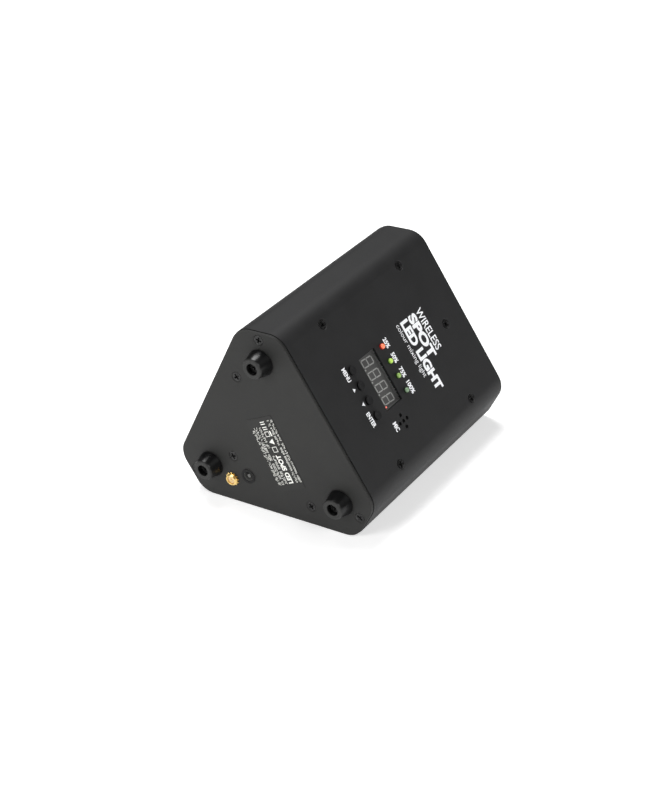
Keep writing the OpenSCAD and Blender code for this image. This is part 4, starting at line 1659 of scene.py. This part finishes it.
@dataclass
class ControlPanel:
    """The panel side: its display, buttons, lights and white print."""

    # glow=0.12 is painted light that brightens the white print.
    ink: Finish = PrintInk("panel_ink", (0.97, 0.98, 1.0), glow=0.12)
    title: tuple[Line, ...] = (
        Line("WIRELESS", (-16.65, 7.85), (99.0, 104.4), 0.012),
        Line("SPOT", (-16.65, 9.35), (91.0, 98.0), 0.05),
        Line("LED LIGHT", (-16.65, 25.15), (83.5, 90.3), 0.05),
        Line("colour mixing light", (-16.85, 14.65), (78.8, 82.8), -0.004),
    )
    legends: tuple[Line, ...] = (
        Line("25%", (-15.95, -10.35), (65.4, 68.6), 0.035),
        Line("50%", (-7.15, -1.45), (65.4, 68.6), 0.035),
        Line("75%", (1.65, 7.35), (65.4, 68.6), 0.035),
        Line("100%", (9.85, 17.15), (65.4, 68.6), 0.035),
        Line("MENU", (-17.15, -9.45), (27.4, 30.3), 0.035),
        Line("ENTER", (8.85, 17.15), (27.4, 30.3), 0.035),
        Line("MIC", (22.05, 27.15), (40.9, 44.1), 0.035),
    )
    arrows: tuple[tuple[float, float, int], ...] = ((-4.65, 28.8, 1), (4.15, 29.1, -1))
    board: Finish = CircuitBoard("green_board", (0.012, 0.09, 0.04))
    switch_case: Finish = Moulded("tact_case", (0.02, 0.02, 0.02), roughness=0.4)
    felt: Finish = Foam("microphone_felt", (0.012, 0.012, 0.012))

    def build(self, readout: ReadOut, lights: LevelLights, buttons: Buttons) -> None:
        """Builds the fittings, then the print round them.

        Args:
            readout: the display.
            lights: the level lights.
            buttons: the push buttons.
        """
        panel = side_face(60)
        readout.build(panel)
        lights.build(panel)
        buttons.build(panel)
        middle = centre_on(panel, "display_module")[0]
        face = Face(panel.at(middle, 0), panel.across, panel.along, panel.out)
        meshes = []
        for line in self.title + self.legends:
            size = [tuple(v * MM for v in line.across), tuple(v * MM for v in line.along)]
            meshes.append(Line(line.words, size[0], size[1], line.weight).mesh(face))
        for across, along, way in self.arrows:
            outline = [(-1.15 * MM, -way * 0.95 * MM), (1.15 * MM, -way * 0.95 * MM), (0, way * 0.95 * MM)]
            solid = prism(outline, -0.01 * MM, 0.02 * MM)
            meshes.append(mesh_from(solid, "arrow", face.matrix(across * MM, along * MM)))
        settle_piece(joined("panel_print", meshes, self.ink), "label_film")

    def dress(self) -> None:
        """Finishes what the panel side hides."""
        dress_nodes(self.board, "control_board")
        dress_nodes(self.switch_case, "tact_switches")
        dress_nodes(self.felt, "microphone")


@dataclass
class RatingLabel:
    """The printed film on the base plate, its small print as meaningless strokes."""

    high: float = 0.02 * MM
    film: Finish = Moulded("label_film", (0.0175, 0.0175, 0.0165), roughness=0.58, grain=0.5 * MM, shine=0.35)
    # glow=0.06 is painted light that brightens the label's print.
    ink: Finish = PrintInk("label_ink", (0.92, 0.92, 0.87), glow=0.06)
    rows: tuple[tuple[float, float, tuple[tuple[float, float], ...]], ...] = (
        (6.2, 8.2, ((-17.6, -12.2), (-11.8, -8), (-7.4, -3.6), (-3, 1), (1.6, 2.4), (2.6, 5.8), (6.2, 15.2))),
        (3.9, 5.9, ((-17.4, -15), (-14, -4.6), (-3, 1), (1.6, 8), (8.6, 16.6))),
        (1.4, 3.4, ((-17.4, -9.4), (-8.4, -0.4), (4, 6.6), (7.4, 16.2))),
        (-6.3, -4.7, ((-17.6, -11), (-10.6, -1.6), (-1, 3.4), (4.2, 10.2), (10.8, 15), (15.6, 17.4),
                      (18.4, 19.4))),
        (-8.6, -7.0, ((-17.6, -13.2), (-12.6, -1.2), (-0.6, 5.8), (6.8, 10.6), (11, 17), (17.6, 19.2))),
    )
    title: Line = Line("LED SPOT", (-17.4, -0.6), (-2.9, 0.4), 0.04)

    def frame(self) -> Face:
        """The label's own face: across along its reading direction.

        Returns:
            The face.
        """
        base = base_face()
        places = corners_of("rating_label")
        flat = places[:, [0, 2]] - places[:, [0, 2]].mean(0)
        _, _, ways = np.linalg.svd(flat, full_matrices=False)
        read = Vector((ways[0][0], 0, ways[0][1]))
        read = read if read.z > 0 else -read
        lo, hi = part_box("rating_label")
        middle = Vector(((lo[0] + hi[0]) / 2, lo[1], (lo[2] + hi[2]) / 2))
        return Face(middle, read, base.out.cross(read), base.out)

    def glyph(self, x: float, y: float, wide: float, high: float, chance: random.Random) -> list[Profile]:
        """A meaningless mark of two to four strokes that fills one letter's room.

        Args:
            x: the room's left.
            y: its bottom.
            wide: its width.
            high: its height.
            chance: picks the strokes.

        Returns:
            The strokes' outlines.
        """
        t = 0.26 * MM
        x1, y1, half = x + wide, y + high, y + high / 2
        strokes = [
            (x, x + t, y, y1), (x1 - t, x1, y, y1), (x, x1, y1 - t, y1), (x, x1, y, y + t),
            (x, x1, half - t / 2, half + t / 2), (x, x + t, half, y1), (x1 - t, x1, y, half),
        ]
        return [box_outline(*s) for s in chance.sample(strokes, chance.choice((2, 3, 3, 4)))]

    def build(self) -> None:
        """Prints the label."""
        chance = random.Random(41)
        face = self.frame()
        outlines = []
        for low, high, words in self.rows:
            for start, end in words:
                count = max(1, round((end - start) / 1.15))
                step = (end - start) / count
                for k in range(count):
                    tall = (high - low) * chance.choice((1.0, 1.0, 0.74, 0.74, 0.74))
                    outlines += self.glyph(
                        (start + k * step) * MM, low * MM, (step - 0.28) * MM, tall * MM, chance
                    )
        outlines += self.symbols()
        solids = [mesh_from(prism(o, -0.01 * MM, self.high), "stroke", face.matrix()) for o in outlines]
        line = self.title
        size = [tuple(v * MM for v in line.across), tuple(v * MM for v in line.along)]
        solids.append(Line(line.words, size[0], size[1], line.weight).mesh(face))
        settle_piece(joined("label_print", solids, self.ink), "label_film")

    def symbols(self) -> list[Profile]:
        """Plain shapes beside the title: bars, a triangle and two open squares.

        Returns:
            Their outlines.
        """
        t = 0.35 * MM
        shapes: list[Profile] = []
        for x0, x1, y0, y1 in ((1.0, 4.2, -2.9, 0.3), (10.2, 13.2, -2.6, 0.4)):
            x0, x1, y0, y1 = (v * MM for v in (x0, x1, y0, y1))
            shapes += [box_outline(x0, x1, y0, y0 + t), box_outline(x0, x1, y1 - t, y1),
                       box_outline(x0, x0 + t, y0, y1), box_outline(x1 - t, x1, y0, y1)]
        shapes.append([(5.4 * MM, -2.9 * MM), (8.8 * MM, -2.9 * MM), (7.1 * MM, 0.3 * MM)])
        shapes.append(box_outline(10.2 * MM, 13.2 * MM, -4.0 * MM, -3.1 * MM))
        for x in (14.2, 15.4, 17.2, 18.4):
            shapes.append(box_outline(x * MM, (x + 0.5) * MM, -2.8 * MM, 0.2 * MM))
        return shapes

    def dress(self) -> None:
        """Finishes the film."""
        dress_nodes(self.film, "rating_label")


@dataclass
class Connectors:
    """The gilt antenna socket with its toothed washer, and the charging socket."""

    barrel_r: float = 3.175 * MM
    thread: float = 0.5 * MM
    bore_r: float = 2.3 * MM
    bore_deep: float = 1.8 * MM
    tooth_reach: float = 0.8 * MM
    teeth: int = 12
    gilt: Finish = Plated("gilt", (0.86, 0.62, 0.24), roughness=0.18, streaks=(1.0, 1.0, 1.0), stain=0.08)
    # The insulator is white nylon, but its colour is set warm orange: painted reflection of the gilt barrel
    # round it.
    insulator: Finish = Moulded("insulator_painted_gold_reflection", (0.8, 0.58, 0.3), roughness=0.4)
    # Light grey for the charging socket's black bore and pin: painted light in the bore.
    socket: Colour = (0.16, 0.16, 0.155)

    def build(self) -> None:
        """Turns the threaded barrel, its insulator and pin, and cuts the washer's teeth."""
        base = base_face()
        middle = centre_on(base, "antenna_jack")
        lo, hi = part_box("antenna_jack")
        out, deep = base.origin.y - lo[1], hi[1] - base.origin.y
        washer = base.origin.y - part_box("antenna_star_washer")[0][1]
        face = Face(base.at(*middle), base.across, base.along, base.out)
        profile = [
            (self.bore_r, out - 0.15 * MM), (self.bore_r + 0.15 * MM, out), (self.barrel_r - 0.35 * MM, out)
        ]
        height = out - 0.3 * MM
        while height > washer + 0.2 * MM:
            profile += [(self.barrel_r, height), (self.barrel_r - 0.26 * MM, height - self.thread / 2)]
            height -= self.thread
        floor = out - self.bore_deep
        profile = [(0, floor - 0.2 * MM), (self.bore_r, floor - 0.2 * MM)] + profile
        rim, shank = self.barrel_r + 0.3 * MM, self.barrel_r - 0.25 * MM
        profile += [
            (self.barrel_r, washer + 0.2 * MM), (rim, washer + 0.2 * MM), (rim, washer),
            (shank, washer), (shank, -deep), (0, -deep),
        ]
        barrel = mesh_from(turned(profile, 64), "antenna_barrel", face.matrix())
        settle_piece(new_piece("antenna_barrel", barrel, self.gilt, 30), "gold_plate", "antenna_jack")
        disc = [
            (0, floor - 0.15 * MM), (self.bore_r - 0.02 * MM, floor - 0.15 * MM),
            (self.bore_r - 0.02 * MM, floor + 1.0 * MM), (1.0 * MM, floor + 1.2 * MM), (0, floor + 1.2 * MM),
        ]
        plug = mesh_from(turned(disc, 40), "antenna_insulator", face.matrix())
        settle_piece(new_piece("antenna_insulator", plug, self.insulator, 30), "white_nylon")
        pin = [(0, floor + 1.1 * MM), (0.65 * MM, floor + 1.1 * MM), (0.65 * MM, floor + 1.35 * MM),
               (0.4 * MM, floor + 1.5 * MM), (0, floor + 1.5 * MM)]
        tip = mesh_from(turned(pin, 24), "antenna_pin", face.matrix())
        settle_piece(new_piece("antenna_pin", tip, self.gilt, 30), "gold_plate")
        settle_piece(self.star_washer(face, washer), "gold_plate", "antenna_star_washer")

    def star_washer(self, face: Face, thick: float) -> bpy.types.Object:
        """The washer: a flat ring whose teeth are each twisted.

        Args:
            face: the base plate's face under the jack.
            thick: the washer's height.

        Returns:
            The piece.
        """
        inner, root = self.barrel_r - 0.2 * MM, self.barrel_r + 0.3 * MM
        reach = self.barrel_r + self.tooth_reach
        low, high = 0.1 * MM, thick - 0.1 * MM
        parts = [turned([(inner, low), (root, low), (root, high), (inner, high)], 72)]
        for k in range(self.teeth):
            turn = Matrix.Rotation(2 * math.pi * (k + 0.25) / self.teeth, 4, "Z")
            parts.append(shifted(self.tooth(root - 0.06 * MM, reach, thick), turn))
        washer = mesh_from(together(*parts), "washer", face.matrix())
        return new_piece("antenna_washer", washer, self.gilt, 30)

    def tooth(self, low: float, high: float, thick: float) -> Builder:
        """One tooth, flat at its root and twisted at its tip.

        Args:
            low: radius of its root.
            high: radius of its tip.
            thick: the washer's height.

        Returns:
            A builder for mesh_from.
        """
        half, wide = 0.16 * MM, 0.5 * MM

        def build(shape: bmesh.types.BMesh) -> None:
            """Lofts four-sided rings outwards with a growing twist."""
            rings = []
            for step in range(4):
                share = step / 3
                twist = share * 0.42
                breadth = wide * (1 - 0.25 * share)
                ring = []
                for y, z in ((-breadth, -half), (breadth, -half), (breadth, half), (-breadth, half)):
                    yy = y * math.cos(twist) - z * math.sin(twist)
                    zz = y * math.sin(twist) + z * math.cos(twist)
                    zz = min(max(thick / 2 + zz, 0.005 * MM), thick)
                    ring.append(shape.verts.new((low + (high - low) * share, yy, zz)))
                rings.append(ring)
            shape.faces.new(rings[0])
            shape.faces.new(rings[-1])
            for a, b in zip(rings, rings[1:]):
                for k in range(4):
                    shape.faces.new([a[k], a[(k + 1) % 4], b[(k + 1) % 4], b[k]])

        return build

    def dress(self) -> None:
        """Finishes the parts that stay as they are."""
        dress_nodes(self.gilt, "antenna_nut")
        rim = -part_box("charge_jack")[0][1]
        # Below its rim the charging socket takes the light grey socket colour: painted light in the bore.
        dress_nodes(CapPlastic("socket_painted_light", self.socket, out=(0.0, -1.0, 0.0), top=rim), "charge_jack")


@dataclass
class PowerSwitch:
    """The rocker switch on the hidden side, with its on and off marks."""

    mark: float = 2.2 * MM
    stroke: float = 0.35 * MM
    sunk: float = -0.01 * MM
    raised: float = 0.02 * MM
    case: Finish = Moulded("switch_black", (0.02, 0.02, 0.02), roughness=0.42)
    rocker: Finish = Moulded("rocker_black", (0.018, 0.018, 0.018), roughness=0.2, grain=0.6 * MM, coat=0.3)
    ink: Finish = PrintInk("switch_ink", (0.75, 0.75, 0.74))

    def build(self) -> None:
        """Eases the edges of the housing and rocker, and prints the rocker's marks."""
        softened("switch_housing", self.case, "black_plastic", 0.2 * MM)
        softened("power_rocker", self.rocker, "gloss_black", 0.25 * MM, "rocker")
        side = side_face(300)
        marks = []
        for way in (-1, 1):
            face = self.pad(side, way)
            if way < 0:
                half, tall = self.stroke / 2, self.mark / 2
                solid = prism(box_outline(-half, half, -tall, tall), self.sunk, self.raised)
            else:
                inner, outer = self.mark / 2 - self.stroke, self.mark / 2
                ring = [(inner, self.sunk), (outer, self.sunk), (outer, self.raised), (inner, self.raised)]
                solid = turned(ring, 32)
            marks.append(mesh_from(solid, "mark", face.matrix()))
        settle_piece(joined("rocker_marks", marks, self.ink), "gloss_black", body="rocker")

    def pad(self, side: Face, way: int) -> Face:
        """One half of the rocker's top, found from its corners.

        Args:
            side: the side that the switch is on.
            way: -1 for the half nearer the base plate, 1 for the other.

        Returns:
            The face at the middle of that half.
        """
        places = corners_of("power_rocker") - np.array(side.origin)
        across, along, out = (places @ np.array(d) for d in (side.across, side.along, side.out))
        middle = (along.min() + along.max()) / 2
        body = np.abs(across - across.mean()) < (np.ptp(across) / 2 - 0.5 * MM)
        half = body & ((along - middle) * way > 2 * MM)
        top = np.argmax(np.where(half, out, -1))
        near = body & (np.abs(along - middle) < 1.2 * MM)
        ridge = np.argmax(np.where(near, out, -1))
        a = side.at(0, float(along[ridge]), float(out[ridge]))
        b = side.at(0, float(along[top]), float(out[top]))
        run = (b - a).normalized() * way
        return Face((a + b) / 2, side.across, run, side.across.cross(run))


@dataclass
class LightEngine:
    """The three lenses, what holds them and the emitters behind them."""

    clear: Finish = ClearAcrylic("clear_lens", (0.97, 0.98, 1.0))
    holder: Finish = Moulded("lens_holder_black", (0.02, 0.02, 0.02), roughness=0.5)
    gasket: Finish = Foam("gasket_foam", (0.03, 0.03, 0.03))
    board: Finish = Moulded("white_board", (0.75, 0.75, 0.73), roughness=0.5)
    emitter: Finish = Emitter("emitter_phosphor", (0.85, 0.62, 0.16))
    sink: Finish = Plated("bare_aluminium", (0.72, 0.72, 0.72), roughness=0.32, streaks=(1.0, 1.0, 0.04))
    radius: float = 18 * MM
    bowl: float = 16 * MM
    deep: float = 13.6 * MM
    throat: float = 6 * MM
    flange: float = 1.5 * MM
    step: float = 0.9 * MM
    crown: float = 0.94 * MM
    ripple: float = 0.06 * MM

    def build(self) -> None:
        """Turns each lens with a smooth bowl and a stepped front."""
        front = front_face()
        for node in ("lens_top", "lens_right", "lens_left"):
            q, s, o = front.spans(corners_of(node))
            seat = o[1] - 1.9 * MM
            face = Face(front.at(sum(q) / 2, sum(s) / 2, seat), front.across, front.along, front.out)
            bowl = []
            for k in range(13):
                t = k / 12
                spread = self.throat + (self.bowl - self.throat) * t ** 0.62
                bowl.append((spread, -self.deep + (self.deep - self.flange) * t))
            top = self.bowl - 0.3 * MM
            rim = [(self.radius, -self.flange), (self.radius, 0), (self.bowl, 0), (top, self.step)]
            crown = []
            for k in range(1, 12):
                t = k / 11
                ripple = self.ripple * math.sin(t * math.pi * 14) if k < 11 else 0
                crown.append((top * (1 - t), self.step + self.crown * math.sin(t * math.pi / 2) + ripple))
            profile = [(0, -self.deep + 3 * MM), (2.6 * MM, -self.deep + 2 * MM), (3.4 * MM, -self.deep)]
            profile += bowl + rim + crown
            mesh = mesh_from(turned(profile, 72), node, face.matrix())
            settle_piece(new_piece(node + "_turned", mesh, self.clear, 40), "clear_lens", node)

    def dress(self) -> None:
        """Finishes the holder, gaskets, board, emitters and heat sink."""
        dress_nodes(self.holder, "lens_holder")
        dress_nodes(self.gasket, "lens_gaskets")
        dress_nodes(self.board, "led_board")
        dress_nodes(self.emitter, "led_emitters")
        dress_nodes(self.sink, "heat_sink")


@dataclass
class Internals:
    """What the housing hides: battery, boards and wires."""

    plastic: Finish = Moulded("inner_black", (0.022, 0.022, 0.022), roughness=0.46)
    wrap: Finish = Moulded("cell_wrap", (0.03, 0.12, 0.3), roughness=0.24, grain=0.7 * MM)
    sleeve: Finish = Moulded("pack_sleeve", (0.02, 0.05, 0.2), roughness=0.3, grain=0.6 * MM)
    zinc: Finish = Plated("carrier_zinc", (0.6, 0.61, 0.62), roughness=0.34)
    nylon: Finish = Moulded("white_nylon", (0.8, 0.8, 0.76), roughness=0.38)
    pad: Finish = Foam("foam_pad", (0.6, 0.6, 0.56))
    board: Finish = CircuitBoard("green_board", (0.012, 0.09, 0.04))
    wires: tuple[tuple[str, Colour], ...] = (
        ("charge_leads", (0.35, 0.015, 0.012)), ("battery_leads", (0.36, 0.016, 0.013)),
        ("switch_leads", (0.02, 0.02, 0.02)), ("control_cable", (0.45, 0.45, 0.44)),
        ("led_leads", (0.6, 0.45, 0.03)), ("antenna_pigtail", (0.05, 0.035, 0.02)),
    )

    def dress(self) -> None:
        """Gives every inner node its finish."""
        dress_nodes(self.plastic, "battery_cradle", "battery_cap")
        dress_nodes(self.wrap, "battery_cells")
        dress_nodes(self.sleeve, "battery_sleeve")
        dress_nodes(self.zinc, "led_carrier")
        dress_nodes(self.nylon, "main_board_posts")
        dress_nodes(self.pad, "receiver_pad")
        dress_nodes(self.board, "main_board", "receiver_board")
        for node, colour in self.wires:
            dress_nodes(Wire(node + "_jacket", colour), node)


# ---------------------------------------------------------------- studio


@dataclass(frozen=True)
class WhiteTable(Finish):
    """A pale table top, lit a little from below."""

    glow: float = 0.5

    def shade(self, shader: Shader) -> bpy.types.Material:
        """An even pale surface with a faint drift in its sheen.

        Args:
            shader: the empty tree that the nodes go in.

        Returns:
            The finished material.
        """
        drift = shader.noise(60 * MM, 2.0)
        return shader.surface(
            Base_Color=self.colour, Roughness=0.7 + drift * 0.1, Emission_Color=(1.0, 1.0, 1.0),
            Emission_Strength=self.glow,
        )


@dataclass(frozen=True)
class SoftBox:
    """A square area light aimed at the object's middle."""

    name: str
    place: tuple[float, float, float]
    size: float
    power: float

    def build(self, aim: Vector) -> None:
        """Hangs the light.

        Args:
            aim: the point that it faces.
        """
        light = bpy.data.lights.new(self.name, "AREA")
        light.shape, light.size, light.energy = "SQUARE", self.size, self.power
        holder = bpy.data.objects.new(self.name, light)
        bpy.context.scene.collection.objects.link(holder)
        holder.location = self.place
        holder.rotation_euler = (aim - Vector(self.place)).to_track_quat("-Z", "Y").to_euler()


@dataclass
class Studio:
    """The floor, the soft lights and the camera."""

    distance: float = 0.90273
    azimuth: float = 36.421
    elevation: float = 30.016
    roll: float = 5.419
    aim: tuple[float, float, float] = (-0.001985, -0.009923, 0.042019)
    lens: float = 76.53
    world: float = 0.14
    floor: Finish = WhiteTable("floor_white", (0.86, 0.86, 0.86))
    boxes: tuple[SoftBox, ...] = (
        SoftBox("top_box", (-0.5, 0.5, 1.7), 0.9, 26.0),
        SoftBox("front_box", (-0.5, -1.6, 1.1), 0.8, 16.0),
        SoftBox("right_box", (1.5, -0.5, 1.3), 0.8, 12.0),
    )

    def build(self) -> None:
        """Sets up the whole studio."""
        scene = bpy.context.scene
        scene.view_settings.view_transform = "Standard"
        world = bpy.data.worlds.new("studio")
        world.use_nodes = True
        back = world.node_tree.nodes["Background"]
        back.inputs[0].default_value = (1.0, 1.0, 1.0, 1.0)
        back.inputs[1].default_value = self.world
        scene.world = world
        half = 4.0
        low = CAD_BOX[0][2] - 0.02 * MM
        sheet = mesh_from(prism(box_outline(-half, half, -half, half), low - 4 * MM, low), "floor")
        new_piece("floor", sheet, self.floor)
        for box in self.boxes:
            box.build(Vector(self.aim))
        self.camera()

    def camera(self) -> None:
        """Stands the camera at its viewing angle."""
        turn, lift, roll = (math.radians(v) for v in (self.azimuth, self.elevation, self.roll))
        back = Vector((math.sin(turn) * math.cos(lift), -math.cos(turn) * math.cos(lift), math.sin(lift)))
        forward = -back
        right = forward.cross(Vector((0, 0, 1))).normalized()
        up = right.cross(forward)
        tilted = up * math.cos(roll) + right * math.sin(roll)
        side = forward.cross(tilted)
        data = bpy.data.cameras.new("camera")
        data.lens, data.sensor_width, data.sensor_fit = self.lens, 36.0, "AUTO"
        holder = bpy.data.objects.new("camera", data)
        bpy.context.scene.collection.objects.link(holder)
        axes = Matrix((side, tilted, back)).transposed().to_4x4()
        holder.matrix_world = Matrix.Translation(Vector(self.aim) + back * self.distance) @ axes
        bpy.context.scene.camera = holder


def main() -> None:
    """Builds the studio and every sub-assembly."""
    logging.basicConfig(level=logging.INFO, format="%(name)s %(message)s")
    Studio().build()
    scatter = Scatter()
    Housing().dress()
    Fasteners().build(scatter)
    panel = ControlPanel()
    panel.build(ReadOut(), LevelLights(), Buttons())
    panel.dress()
    for part in (Feet(), RatingLabel(), Connectors(), LightEngine()):
        part.build()
        part.dress()
    PowerSwitch().build()
    Internals().dress()


if __name__ == "__main__":
    main()
